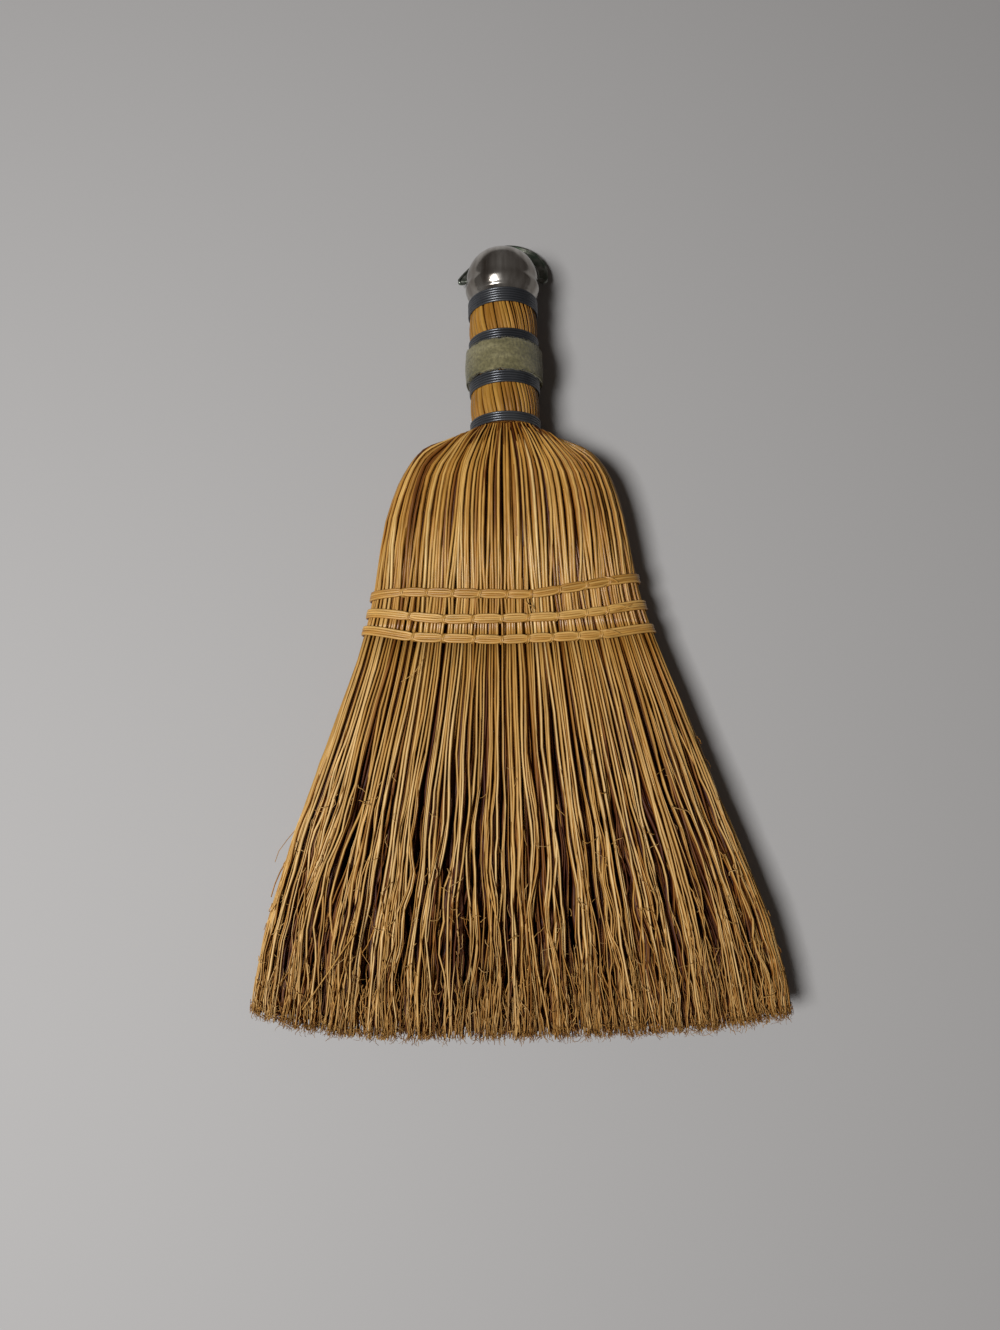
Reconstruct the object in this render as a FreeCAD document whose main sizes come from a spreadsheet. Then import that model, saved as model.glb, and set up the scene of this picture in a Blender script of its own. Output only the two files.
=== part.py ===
import FreeCAD, Part
import Sketcher
import math
import os

# A hand broom of bound broomcorn, lying on its back.
# The working frame has its origin at the middle of the bristle tips, on the axis of the handle:
# X runs across the broom, Y along the handle towards the cap, Z up from the handle's axis.
# Every sub-part is then placed in the part's frame, whose origin is on the floor under the middle.

Vector = FreeCAD.Vector
document = FreeCAD.newDocument("hand_broom")
sheet = document.addObject("Spreadsheet::Sheet", "Dimensions")

# Driving dimensions in millimetres, angles in degrees; "reach" is the distance from the tips.
DIMENSIONS = {
    # place of the working frame in the part's frame
    "tip_offset": 170.69,
    "axis_height": 17.0,
    # handle of bound stalks
    "handle_radius": 14.4,
    "handle_foot": 240.0,
    "handle_top": 311.0,
    "collar_radius": 14.8,
    "collar_foot": 305.2,
    "core_radius": 10.0,
    "hurl_depth": 4.5,
    # head: tips on a wide arc, roundness of its edges, fan of the middle bundle
    "tip_arc_radius": 617.0,
    "edge_roundness": 0.55,
    "core_fan_top": 256.0,
    "core_fan_top_half": 6.0,
    "core_fan_tip_half": 42.0,
    "overrun": 6.0,
    # grooves that part the tufts, below the sewing and over the shoulders
    "groove_depth": 3.2,
    "groove_width": 4.4,
    "groove_start": 148.0,
    "groove_full": 84.0,
    "groove_end": -4.0,
    "shoulder_groove_depth": 2.0,
    "shoulder_groove_top": 238.0,
    "shoulder_groove_middle": 208.0,
    "shoulder_groove_foot": 178.0,
    "groove_run_out": 0.2,
    "groove_clear": 2.0,
    # soft iron wire and its bands, each from its lower edge
    "wire_diameter": 0.66,
    "wire_pitch": 1.1,
    "wire_clearance": 0.04,
    "cap_band_foot": 296.5,
    "cap_band_turns": 5.5,
    "upper_band_foot": 279.6,
    "upper_band_turns": 4.25,
    "lower_band_foot": 261.05,
    "lower_band_turns": 4.5,
    "neck_band_foot": 244.2,
    "neck_band_turns": 3.25,
    "binding_foot": 247.0,
    "binding_turns": 3.25,
    "binding_room": 0.5,
    # plush strip round the grip
    "plush_foot": 266.95,
    "plush_top": 279.35,
    "plush_inner_radius": 14.45,
    "plush_outer_radius": 16.8,
    "plush_edge_radius": 1.0,
    "plush_seam_angle": 358.0,
    # spun cap
    "cap_crown": 328.0,
    "cap_crown_radius": 22.0,
    "cap_shoulder_radius": 8.0,
    "cap_wall_radius": 15.25,
    "cap_waist": 317.0,
    "cap_bead_arc": 19.5,
    "cap_lip": 303.6,
    "cap_lip_radius": 14.95,
    "cap_lip_bore": 14.45,
    "cap_sheet": 0.5,
    # hanging ring hinged at the back of the cap
    "ring_hinge_reach": 321.0,
    "ring_hinge_drop": 11.0,
    "ring_outer_radius": 20.8,
    "ring_strip_width": 4.4,
    "ring_strip": 0.9,
    "ring_rim_height": 1.7,
    "ring_pin_radius": 0.9,
    "ring_pin_clearance": 0.07,
    "ring_pin_end": 8.4,
    "ring_rest_tilt": 15.5,
    # sewing twine: three rows of wraps, held by ties that go through the head
    "twine_diameter": 0.7,
    "twine_pitch": 1.14,
    "twine_clearance": 0.25,
    "wrap_turns": 3.0,
    "tie_diameter": 0.9,
    "tie_half_span": 3.0,
    "tie_corner": 1.0,
}

# Stations of the head, from the neck to the tips: reach, half width and half depth.
HEAD_STATIONS = [
    (244.0, 14.3, 13.9),
    (241.2, 27.5, 15.0),
    (236.5, 36.8, 16.3),
    (229.5, 43.2, 17.1),
    (219.0, 48.4, 17.3),
    (204.0, 53.2, 16.6),
    (186.0, 55.8, 14.6),
    (172.0, 57.8, 13.6),
    (150.0, 64.6, 13.3),
    (122.0, 74.3, 14.2),
    (80.0, 89.0, 15.9),
    (40.0, 101.0, 17.0),
    (16.0, 105.4, 17.4),
    (-4.0, 107.4, 17.6),
]

# Stitch rows: reach at the middle, rise at the left and right edge, number of ties and their spacing.
STITCH_ROWS = {
    "top": (171.7, 1.7, 8.0, 9, 11.0),
    "middle": (162.3, 4.5, 7.5, 8, 11.9),
    "bottom": (153.3, 6.0, 7.0, 8, 11.3),
}

# Lines where the tufts part, as shares of the half width, left to right.
TUFT_GROOVES = (
    -0.87, -0.72, -0.58, -0.43, -0.3, -0.19, -0.05,
    0.09, 0.2, 0.34, 0.46, 0.6, 0.74, 0.89,
)


def fill_sheet():
    """Writes every driving dimension to a row of the sheet, with its alias."""
    rows = dict(DIMENSIONS)
    for number, (reach, half_width, half_depth) in enumerate(HEAD_STATIONS, 1):
        rows[f"station_{number}_reach"] = reach
        rows[f"station_{number}_half_width"] = half_width
        rows[f"station_{number}_half_depth"] = half_depth
    for row, (reach, left_rise, right_rise, count, spacing) in STITCH_ROWS.items():
        rows[f"{row}_row_reach"] = reach
        rows[f"{row}_row_left_rise"] = left_rise
        rows[f"{row}_row_right_rise"] = right_rise
        rows[f"{row}_row_ties"] = count
        rows[f"{row}_row_spacing"] = spacing
    for number, share in enumerate(TUFT_GROOVES, 1):
        rows[f"groove_{number}_share"] = share
    for line, (alias, value) in enumerate(rows.items(), 1):
        sheet.set(f"A{line}", alias)
        sheet.set(f"B{line}", str(value))
        sheet.setAlias(f"B{line}", alias)
    document.recompute()


class Length:
    """A size worked out from the sheet: its value now, and the expression that binds it."""

    def __init__(self, value, text):
        self.value = value
        self.text = text

    def joined(self, sign, other, value):
        text = other.text if isinstance(other, Length) else str(other)
        return Length(value, f"({self.text} {sign} {text})")

    def __add__(self, other):
        return self.joined("+", other, self.value + plain(other))

    def __sub__(self, other):
        return self.joined("-", other, self.value - plain(other))

    def __mul__(self, other):
        return self.joined("*", other, self.value * plain(other))

    def __truediv__(self, other):
        return self.joined("/", other, self.value / plain(other))

    def __neg__(self):
        return Length(-self.value, f"(0 - {self.text})")


def plain(size):
    return size.value if isinstance(size, Length) else size


def dim(alias):
    return Length(float(sheet.get(alias)), f"Dimensions.{alias}")


def value(alias):
    return dim(alias).value


def bind(thing, **sizes):
    """Binds properties of an object to sizes of the sheet; a double underscore stands for a dot."""
    for name, size in sizes.items():
        thing.setExpression(name.replace("__", "."), size.text)


def settle(thing, label):
    """Names a finished sub-part and places it in the part's frame."""
    thing.Label = label
    bind(thing, Placement__Base__y=-dim("tip_offset"), Placement__Base__z=dim("axis_height"))
    return thing


# Sketches

def hold(sketch, kind, places, size):
    """Adds a dimension to a sketch and binds it."""
    index = sketch.addConstraint(Sketcher.Constraint(kind, *places, size.value))
    sketch.setExpression(f"Constraints[{index}]", size.text)


def body_sketch(body, name, plane):
    sketch = body.newObject("Sketcher::SketchObject", name)
    support = [feature for feature in body.Origin.OriginFeatures if feature.Role == plane]
    sketch.AttachmentSupport = [(support[0], "")]
    sketch.MapMode = "FlatFace"
    return sketch


def straight_outline(sketch, corners):
    """Draws a closed straight-sided outline, each corner held by two bound dimensions."""
    points = [Vector(across.value, up.value, 0) for across, up in corners]
    count = len(points)
    for number, point in enumerate(points):
        sketch.addGeometry(Part.LineSegment(point, points[(number + 1) % count]))
    for number, (across, up) in enumerate(corners):
        sketch.addConstraint(Sketcher.Constraint("Coincident", number, 2, (number + 1) % count, 1))
        hold(sketch, "DistanceX", (-1, 1, number, 1), across)
        hold(sketch, "DistanceY", (-1, 1, number, 1), up)


def arc(centre, radius, start, end):
    """An arc drawn anticlockwise between two angles in radians."""
    return Part.ArcOfCircle(Part.Circle(centre, Vector(0, 0, 1), radius), start, end)


def crown_arc_radius(half_width, half_depth, edge_radius):
    """Radius of the flat sides of a four-centred oval."""
    run = half_width - edge_radius
    rise = half_depth - edge_radius
    return (run * run + half_depth * half_depth - edge_radius * edge_radius) / (rise * 2)


def oval_section(name, reach, half_width, half_depth):
    """A four-centred oval standing across the broom at a reach from the tips."""
    sketch = document.addObject("Sketcher::SketchObject", name)
    sketch.Placement = FreeCAD.Placement(Vector(), FreeCAD.Rotation(Vector(1, 0, 0), 90))
    bind(sketch, Placement__Base__y=reach)
    edge_radius = half_depth * dim("edge_roundness")
    edge_centre = half_width - edge_radius
    side_radius = crown_arc_radius(half_width, half_depth, edge_radius)
    side_drop = side_radius - half_depth
    turn = math.atan2(side_drop.value, edge_centre.value)
    half_turn = math.pi
    front, left, back, right = range(4)
    sketch.addGeometry(arc(Vector(0, -side_drop.value, 0), side_radius.value, turn, half_turn - turn))
    sketch.addGeometry(
        arc(Vector(-edge_centre.value, 0, 0), edge_radius.value, half_turn - turn, half_turn + turn)
    )
    sketch.addGeometry(
        arc(Vector(0, side_drop.value, 0), side_radius.value, half_turn + turn, 2 * half_turn - turn)
    )
    sketch.addGeometry(arc(Vector(edge_centre.value, 0, 0), edge_radius.value, -turn, turn))
    for one, other in ((front, left), (left, back), (back, right), (right, front)):
        sketch.addConstraint(Sketcher.Constraint("Tangent", one, 2, other, 1))
    for edge in (left, right):
        sketch.addConstraint(Sketcher.Constraint("PointOnObject", edge, 3, -1))
        hold(sketch, "Radius", (edge,), edge_radius)
    hold(sketch, "DistanceX", (left, 3, -1, 1), edge_centre)
    hold(sketch, "DistanceX", (-1, 1, right, 3), edge_centre)
    hold(sketch, "DistanceY", (front, 3, -1, 1), side_drop)
    hold(sketch, "DistanceY", (-1, 1, back, 3), side_drop)
    return sketch


# Solids that are only tools for the sub-parts

def cylinder(name, radius, foot, top):
    """A round bar along the handle between two reaches."""
    bar = document.addObject("Part::Cylinder", name)
    bar.Placement = FreeCAD.Placement(Vector(), FreeCAD.Rotation(Vector(1, 0, 0), -90))
    bind(bar, Radius=radius, Height=top - foot, Placement__Base__y=foot)
    return bar


def boolean(kind, name, base, tool):
    result = document.addObject(kind, name)
    result.Base = base
    result.Tool = tool
    return result


def half_space(name, corner, sizes):
    """A box from its lowest corner, as large as is needed to take one side of the broom."""
    box = document.addObject("Part::Box", name)
    bind(box, Length=sizes[0], Width=sizes[1], Height=sizes[2])
    bind(box, Placement__Base__x=corner[0], Placement__Base__y=corner[1], Placement__Base__z=corner[2])
    return box


def head_loft(name, inset):
    """The fan of the head, drawn in by an inset all round."""
    sections = []
    for number in range(1, len(HEAD_STATIONS) + 1):
        sections.append(
            oval_section(
                f"{name}_section_{number}",
                dim(f"station_{number}_reach"),
                dim(f"station_{number}_half_width") - inset,
                dim(f"station_{number}_half_depth") - inset,
            )
        )
    loft = document.addObject("Part::Loft", name)
    loft.Sections = sections
    loft.Solid = True
    loft.Ruled = True
    return loft


def straw_envelopes():
    """The whole bundle from cap to tips, and the inner bundles that the hurl covers."""
    tip_arc = document.addObject("Part::Cylinder", "tip_arc")
    bind(tip_arc, Radius=dim("tip_arc_radius"), Height=dim("tip_arc_radius"))
    bind(tip_arc, Placement__Base__y=dim("tip_arc_radius"), Placement__Base__z=-dim("axis_height"))

    handle = cylinder("handle", dim("handle_radius"), dim("handle_foot"), dim("handle_top"))
    collar = cylinder("collar", dim("collar_radius"), dim("collar_foot"), dim("handle_top"))
    bound = boolean("Part::Fuse", "bound_handle", handle, collar)
    whole = boolean("Part::Fuse", "whole_bundle", head_loft("outer_head", Length(0.0, "0")), bound)

    core_bar = cylinder("core_bar", dim("core_radius"), dim("handle_foot"), dim("handle_top"))
    inner = boolean("Part::Fuse", "whole_inside", head_loft("inner_head", dim("hurl_depth")), core_bar)
    return (
        boolean("Part::Common", "trimmed_bundle", whole, tip_arc),
        boolean("Part::Common", "trimmed_inside", inner, tip_arc),
    )


def core_fan():
    """A plate that fans out from the neck to the tips and takes in the whole core of the handle."""
    sketch = document.addObject("Sketcher::SketchObject", "core_fan_outline")
    top = dim("handle_top") + dim("overrun")
    neck = dim("core_fan_top")
    broad = dim("core_radius") + dim("overrun")
    narrow = dim("core_fan_top_half")
    tip = dim("core_fan_tip_half")
    end = -dim("overrun")
    right_side = [(tip, end), (narrow, neck), (broad, neck), (broad, top)]
    left_side = [(-across, up) for across, up in reversed(right_side)]
    straight_outline(sketch, right_side + left_side)
    plate = document.addObject("Part::Extrusion", "core_fan")
    plate.Base = sketch
    plate.DirMode = "Custom"
    plate.Dir = Vector(0, 0, 1)
    plate.Solid = True
    bind(plate, LengthFwd=dim("axis_height") * 2, LengthRev=dim("axis_height") * 2)
    return plate


def head_size(reach):
    """Half width and half depth of the head at a reach, straight between its stations."""
    for (high, high_width, high_depth), (low, low_width, low_depth) in zip(HEAD_STATIONS, HEAD_STATIONS[1:]):
        if low <= reach <= high:
            share = (reach - low) / (high - low)
            return low_width + share * (high_width - low_width), low_depth + share * (high_depth - low_depth)
    raise ValueError(f"no head at reach {reach}")


def surface_height(reach, across):
    """Height of the head's flat side over the axis, at a place across it."""
    half_width, half_depth = head_size(reach)
    side_radius = crown_arc_radius(half_width, half_depth, half_depth * value("edge_roundness"))
    return math.sqrt(side_radius * side_radius - across * across) - (side_radius - half_depth)


def groove_wedge(share, stations):
    """A wedge along one line of the fan, through stations of reach and depth below the surface."""
    slope = value("groove_width") / 2 / value("groove_depth")
    clear = value("groove_clear")
    sections = []
    for reach, depth in stations:
        across = share * head_size(reach)[0]
        surface = surface_height(reach, across)
        half_width = (depth + clear) * slope
        bottom = Vector(across, reach, surface - depth)
        right = Vector(across + half_width, reach, surface + clear)
        left = Vector(across - half_width, reach, surface + clear)
        sections.append(Part.makePolygon([bottom, right, left, bottom]))
    return Part.makeLoft(sections, True, True)


def tuft_grooves():
    """The wedges that part the straw into tufts, on both faces of the head."""
    run_out = value("groove_run_out")
    full_depth = value("groove_depth")
    below_sewing = (
        (value("groove_start"), run_out),
        (value("groove_full"), full_depth),
        (value("groove_end"), full_depth),
    )
    over_shoulders = (
        (value("shoulder_groove_top"), run_out),
        (value("shoulder_groove_middle"), value("shoulder_groove_depth")),
        (value("shoulder_groove_foot"), run_out),
    )
    wedges = []
    for number in range(1, len(TUFT_GROOVES) + 1):
        for stations in (below_sewing, over_shoulders):
            wedge = groove_wedge(value(f"groove_{number}_share"), stations)
            wedges += [wedge, wedge.mirror(Vector(), Vector(0, 0, 1))]
    grooves = document.addObject("Part::Feature", "tuft_grooves")
    grooves.Shape = Part.makeCompound(wedges)
    return grooves


def make_bundles():
    """Middle bundle, two shoulder bundles, and the tufted hurl laid over their front and back."""
    whole, inside = straw_envelopes()
    side = dim("tip_arc_radius")
    below = -dim("overrun") * 2
    depth = dim("axis_height") * 2

    fan = core_fan()
    core = boolean("Part::Common", "core_bundle", inside, fan)
    shoulders = boolean("Part::Cut", "shoulders", inside, fan)
    left_box = half_space("left_side", (-side, below, -depth), (side, side, depth * 2))
    right_box = half_space("right_side", (Length(0.0, "0"), below, -depth), (side, side, depth * 2))
    left = boolean("Part::Common", "left_shoulder_bundle", shoulders, left_box)
    right = boolean("Part::Common", "right_shoulder_bundle", shoulders, right_box)

    room = dim("binding_room")
    binding_height = dim("wire_pitch") * dim("binding_turns") + dim("wire_diameter")
    groove = cylinder(
        "binding_groove",
        dim("core_radius") + dim("wire_diameter") + room,
        dim("binding_foot") - room,
        dim("binding_foot") + binding_height + room,
    )
    hurl_cover = boolean("Part::Cut", "hurl_cover", whole, inside)
    bound_hurl = boolean("Part::Cut", "bound_hurl", hurl_cover, groove)
    hurl = boolean("Part::Cut", "hurl", bound_hurl, tuft_grooves())
    front_box = half_space("front_side", (-side, below, Length(0.0, "0")), (side * 2, side, depth))
    back_box = half_space("back_side", (-side, below, -depth), (side * 2, side, depth))
    front = boolean("Part::Common", "front_hurl", hurl, front_box)
    back = boolean("Part::Common", "back_hurl", hurl, back_box)
    return [settle(bundle, bundle.Name) for bundle in (core, left, right, front, back)]


# Wire and twine

def biarc(start, start_way, end, end_way, first_arm):
    """Two arcs that leave start and reach end along the given ways and touch between them."""
    span = end - start
    turn_gap = 1 - start_way.dot(end_way)
    last_arm = (span.dot(span) - 2 * first_arm * span.dot(start_way)) / (
        2 * (span.dot(end_way) + first_arm * turn_gap)
    )
    first_corner = start + start_way * first_arm
    last_corner = end - end_way * last_arm
    share = first_arm / (first_arm + last_arm)
    middle = first_corner + (last_corner - first_corner) * share
    return [corner_arc(start, first_corner, middle), corner_arc(middle, last_corner, end)]


def corner_arc(start, corner, end):
    """The arc that touches both sides of a corner at equal arms."""
    chord_middle = (start + end) * 0.5
    half_chord = (end - start).Length / 2
    rise = corner - chord_middle
    bend = math.atan2(rise.Length, half_chord)
    top = chord_middle + rise.normalize() * (half_chord * math.tan(bend / 2))
    return Part.Arc(start, top, end).toShape()


def tube(edges, diameter, closed=False):
    """A round tube along a smooth chain of edges."""
    path = Part.Wire(edges)
    begin = edges[0].valueAt(edges[0].FirstParameter)
    way = edges[0].tangentAt(edges[0].FirstParameter)
    ring = Part.Wire(Part.Circle(begin, way, diameter / 2).toShape())
    if closed:
        shell = path.makePipeShell([ring], False, False)
        return Part.Solid(Part.Shell(shell.Faces))
    return path.makePipeShell([ring], True, False)


def with_straight_ends(edges, diameter):
    """Adds one tube diameter of straight run at each end of a winding."""
    first, last = edges[0], edges[-1]
    begin = first.valueAt(first.FirstParameter)
    finish = last.valueAt(last.LastParameter)
    way_in = first.tangentAt(first.FirstParameter) * diameter
    way_out = last.tangentAt(last.LastParameter) * diameter
    lead_in = Part.LineSegment(begin - way_in, begin).toShape()
    lead_out = Part.LineSegment(finish, finish + way_out).toShape()
    return [lead_in] + edges + [lead_out]


def least_gap(edges, diameter, edges_per_turn):
    """Smallest clear distance between a winding's turns, measured on points along it."""
    points_per_edge = 8
    points = []
    for edge in edges:
        points.extend(edge.discretize(points_per_edge + 1)[:-1])
    near_turn = edges_per_turn * points_per_edge // 2
    gap = math.inf
    for number, point in enumerate(points):
        for other in points[number + near_turn:]:
            gap = min(gap, point.distanceToPoint(other))
    return gap - diameter


def winding(label, edges, diameter, edges_per_turn):
    """A sub-part made of one unbroken wound tube."""
    print(f"{label}: least gap {least_gap(edges, diameter, edges_per_turn):.2f} mm")
    wound = document.addObject("Part::Feature", label)
    wound.Shape = tube(with_straight_ends(edges, diameter), diameter)
    return settle(wound, label)


def make_wire_band(label, name, core_radius):
    """Wire wound round the handle, drawn quarter turn by quarter turn from its lower edge."""
    diameter = value("wire_diameter")
    pitch = value("wire_pitch")
    radius = core_radius + diameter / 2 + value("wire_clearance")
    foot = value(f"{name}_foot") + diameter / 2
    climb = pitch / (2 * math.pi * radius)
    quarters = round(4 * value(f"{name}_turns"))
    arm = radius * math.tan(math.pi / 8)

    def place(quarter):
        turn = quarter * math.pi / 2
        return Vector(radius * math.sin(turn), foot + pitch * quarter / 4, -radius * math.cos(turn))

    def way(quarter):
        turn = quarter * math.pi / 2
        return Vector(math.cos(turn), climb, math.sin(turn)).normalize()

    edges = []
    for quarter in range(quarters):
        edges += biarc(place(quarter), way(quarter), place(quarter + 1), way(quarter + 1), arm)
    return winding(label, edges, diameter, 8)


def make_wrap(row):
    """Three turns of twine round the flattened head, higher at the edges than in the middle."""
    diameter = value("twine_diameter")
    pitch = value("twine_pitch")
    turns = value("wrap_turns")
    stand_off = diameter / 2 + value("twine_clearance")
    foot = value(f"{row}_row_reach") - pitch * turns / 2
    rises = (value(f"{row}_row_right_rise"), 0.0, value(f"{row}_row_left_rise"), 0.0)
    outward = (Vector(1, 0, 0), Vector(0, 0, 1), Vector(-1, 0, 0), Vector(0, 0, -1))
    onward = (Vector(0, 0, 1), Vector(-1, 0, 0), Vector(0, 0, -1), Vector(1, 0, 0))

    def place(quarter):
        side = quarter % 4
        reach = foot + pitch * quarter / 4 + rises[side]
        half_width, half_depth = head_size(reach)
        stand = (half_depth if side % 2 else half_width) + stand_off
        return outward[side] * stand + Vector(0, reach, 0)

    def way(quarter):
        before, after = place(quarter - 1), place(quarter + 1)
        slope = (after.y - before.y) / (after - before).Length
        side = quarter % 4
        return (onward[side] + Vector(0, slope if side % 2 else 0, 0)).normalize()

    def edge_arm(quarter):
        """Arm of the tight arc at an edge of the head."""
        half_width, half_depth = head_size(place(quarter).y)
        edge_radius = half_depth * value("edge_roundness")
        side_drop = crown_arc_radius(half_width, half_depth, edge_radius) - half_depth
        turn = math.atan2(side_drop, half_width - edge_radius)
        return (edge_radius + stand_off) * math.tan(turn / 2)

    def quarter_turn(quarter):
        begin, begin_way = place(quarter), way(quarter)
        finish, finish_way = place(quarter + 1), way(quarter + 1)
        if quarter % 2 == 0:
            return biarc(begin, begin_way, finish, finish_way, edge_arm(quarter))
        backwards = biarc(finish, -finish_way, begin, -begin_way, edge_arm(quarter + 1))
        return [reversed_arc(edge) for edge in reversed(backwards)]

    edges = []
    for quarter in range(round(4 * turns)):
        edges += quarter_turn(quarter)
    return winding(f"stitch_wrap_{row}", edges, diameter, 8)


def reversed_arc(edge):
    """The same arc run from its other end."""
    first, last = edge.FirstParameter, edge.LastParameter
    return Part.Arc(edge.valueAt(last), edge.valueAt((first + last) / 2), edge.valueAt(first)).toShape()


def row_reach(row, across):
    """Reach of a stitch row at a distance from the middle of the broom."""
    middle = value(f"{row}_row_reach")
    half_width = head_size(middle)[0]
    left, right = value(f"{row}_row_left_rise"), value(f"{row}_row_right_rise")
    share = across / half_width
    return middle + share * (right - left) / 2 + share * share * (right + left) / 2


def make_ties(row):
    """Closed stitches that pass through the head and draw the wraps down on both sides."""
    diameter = value("tie_diameter")
    corner = value("tie_corner")
    span = value("tie_half_span")
    over_wrap = 2 * value("twine_clearance") + value("twine_diameter") + diameter / 2
    count = round(value(f"{row}_row_ties"))
    stitches = []
    for number in range(count):
        across = (number - (count - 1) / 2) * value(f"{row}_row_spacing")
        reach = row_reach(row, across)
        surface = surface_height(reach, across)
        stitches.append(rounded_loop(across, reach, span, surface + over_wrap, corner, diameter))
    ties = document.addObject("Part::Feature", f"stitch_ties_{row}")
    ties.Shape = Part.makeCompound(stitches)
    return settle(ties, f"stitch_ties_{row}")


def rounded_loop(across, reach, half_length, half_height, corner, diameter):
    """A closed loop with rounded corners that stands along the broom."""
    edges = []
    signs = ((1, 1), (-1, 1), (-1, -1), (1, -1))

    def spot(along, up):
        return Vector(across, reach + along, up)

    for (along, up), (next_along, next_up) in zip(signs, signs[1:] + signs[:1]):
        peak = spot(along * half_length, up * half_height)
        next_peak = spot(next_along * half_length, next_up * half_height)
        way = (next_peak - peak).normalize() * corner
        edges.append(Part.LineSegment(peak + way, next_peak - way).toShape())
    rounded = []
    for edge, following in zip(edges, edges[1:] + edges[:1]):
        begin = edge.valueAt(edge.LastParameter)
        finish = following.valueAt(following.FirstParameter)
        peak = begin + edge.tangentAt(edge.LastParameter) * corner
        rounded += [edge, corner_arc(begin, peak, finish)]
    return tube(rounded, diameter, closed=True)


# Grip, cap and hanging ring

def make_plush():
    """A strip of plush round the grip, with rounded edges and its seam at the back."""
    body = document.addObject("PartDesign::Body", "plush_sleeve")
    sketch = body_sketch(body, "strip_section", "XY_Plane")
    inner, outer = dim("plush_inner_radius"), dim("plush_outer_radius")
    foot, top = dim("plush_foot"), dim("plush_top")
    straight_outline(sketch, [(inner, foot), (outer, foot), (outer, top), (inner, top)])
    strip = body.newObject("PartDesign::Revolution", "strip")
    strip.Profile = sketch
    strip.ReferenceAxis = (sketch, ["V_Axis"])
    bind(strip, Angle=dim("plush_seam_angle"))
    document.recompute()
    rims = []
    for number, edge in enumerate(strip.Shape.Edges, 1):
        middle = edge.valueAt((edge.FirstParameter + edge.LastParameter) / 2)
        from_axis = math.hypot(middle.x, middle.z)
        is_round = edge.Curve.TypeId == "Part::GeomCircle"
        if is_round and abs(from_axis - outer.value) < value("plush_edge_radius") / 10:
            rims.append(f"Edge{number}")
    fillet = body.newObject("PartDesign::Fillet", "soft_rims")
    fillet.Base = (strip, rims)
    bind(fillet, Radius=dim("plush_edge_radius"))
    body.Placement = FreeCAD.Placement(Vector(), FreeCAD.Rotation(Vector(0, 1, 0), 90))
    return settle(body, "plush_sleeve")


def cap_profile(sketch, inset, lip_radius):
    """Half section of the cap: crown, shoulder, wall, rolled bead and flat lip, drawn in by an inset."""
    crown = dim("cap_crown") - inset
    crown_radius = dim("cap_crown_radius") - inset
    shoulder_radius = dim("cap_shoulder_radius") - inset
    wall = dim("cap_wall_radius") - inset
    bead_radius = dim("cap_bead_arc") - inset
    waist, lip = dim("cap_waist"), dim("cap_lip")

    crown_centre = Vector(0, crown.value - crown_radius.value, 0)
    shoulder_across = wall.value - shoulder_radius.value
    centre_gap = crown_radius.value - shoulder_radius.value
    shoulder_up = math.sqrt(centre_gap * centre_gap - shoulder_across * shoulder_across)
    shoulder_centre = crown_centre + Vector(shoulder_across, shoulder_up, 0)
    turn = math.atan2(shoulder_up, shoulder_across)
    wall_top = Vector(wall.value, shoulder_centre.y, 0)
    wall_foot = Vector(wall.value, waist.value, 0)
    lip_edge = Vector(lip_radius.value, lip.value, 0)
    lip_middle = Vector(0, lip.value, 0)
    chord = wall_foot - lip_edge
    sagitta_drop = math.sqrt(bead_radius.value ** 2 - (chord.Length / 2) ** 2)
    inward = Vector(-chord.y, chord.x, 0).normalize()
    bead_centre = (wall_foot + lip_edge) * 0.5 + inward * sagitta_drop
    bead_start = math.atan2(lip_edge.y - bead_centre.y, lip_edge.x - bead_centre.x)
    bead_end = math.atan2(wall_foot.y - bead_centre.y, wall_foot.x - bead_centre.x)

    dome, shoulder, side, bead, base, axis = range(6)
    sketch.addGeometry(arc(crown_centre, crown_radius.value, turn, math.pi / 2))
    sketch.addGeometry(arc(shoulder_centre, shoulder_radius.value, 0, turn))
    sketch.addGeometry(Part.LineSegment(wall_top, wall_foot))
    sketch.addGeometry(arc(bead_centre, bead_radius.value, bead_start, bead_end))
    sketch.addGeometry(Part.LineSegment(lip_edge, lip_middle))
    sketch.addGeometry(Part.LineSegment(lip_middle, Vector(0, crown.value, 0)))

    def tie(kind, *places):
        sketch.addConstraint(Sketcher.Constraint(kind, *places))

    tie("Tangent", dome, 1, shoulder, 2)
    tie("Tangent", shoulder, 1, side, 1)
    tie("Coincident", side, 2, bead, 2)
    tie("Coincident", bead, 1, base, 1)
    tie("Coincident", base, 2, axis, 1)
    tie("Coincident", axis, 2, dome, 2)
    tie("PointOnObject", dome, 3, -2)
    tie("PointOnObject", dome, 2, -2)
    tie("PointOnObject", axis, 1, -2)
    tie("Vertical", side)
    tie("Horizontal", base)
    hold(sketch, "Radius", (dome,), crown_radius)
    hold(sketch, "Radius", (shoulder,), shoulder_radius)
    hold(sketch, "Radius", (bead,), bead_radius)
    hold(sketch, "DistanceY", (-1, 1, dome, 2), crown)
    hold(sketch, "DistanceX", (-1, 1, side, 1), wall)
    hold(sketch, "DistanceY", (-1, 1, side, 2), waist)
    hold(sketch, "DistanceX", (-1, 1, bead, 1), lip_radius)
    hold(sketch, "DistanceY", (-1, 1, bead, 1), lip)


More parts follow.
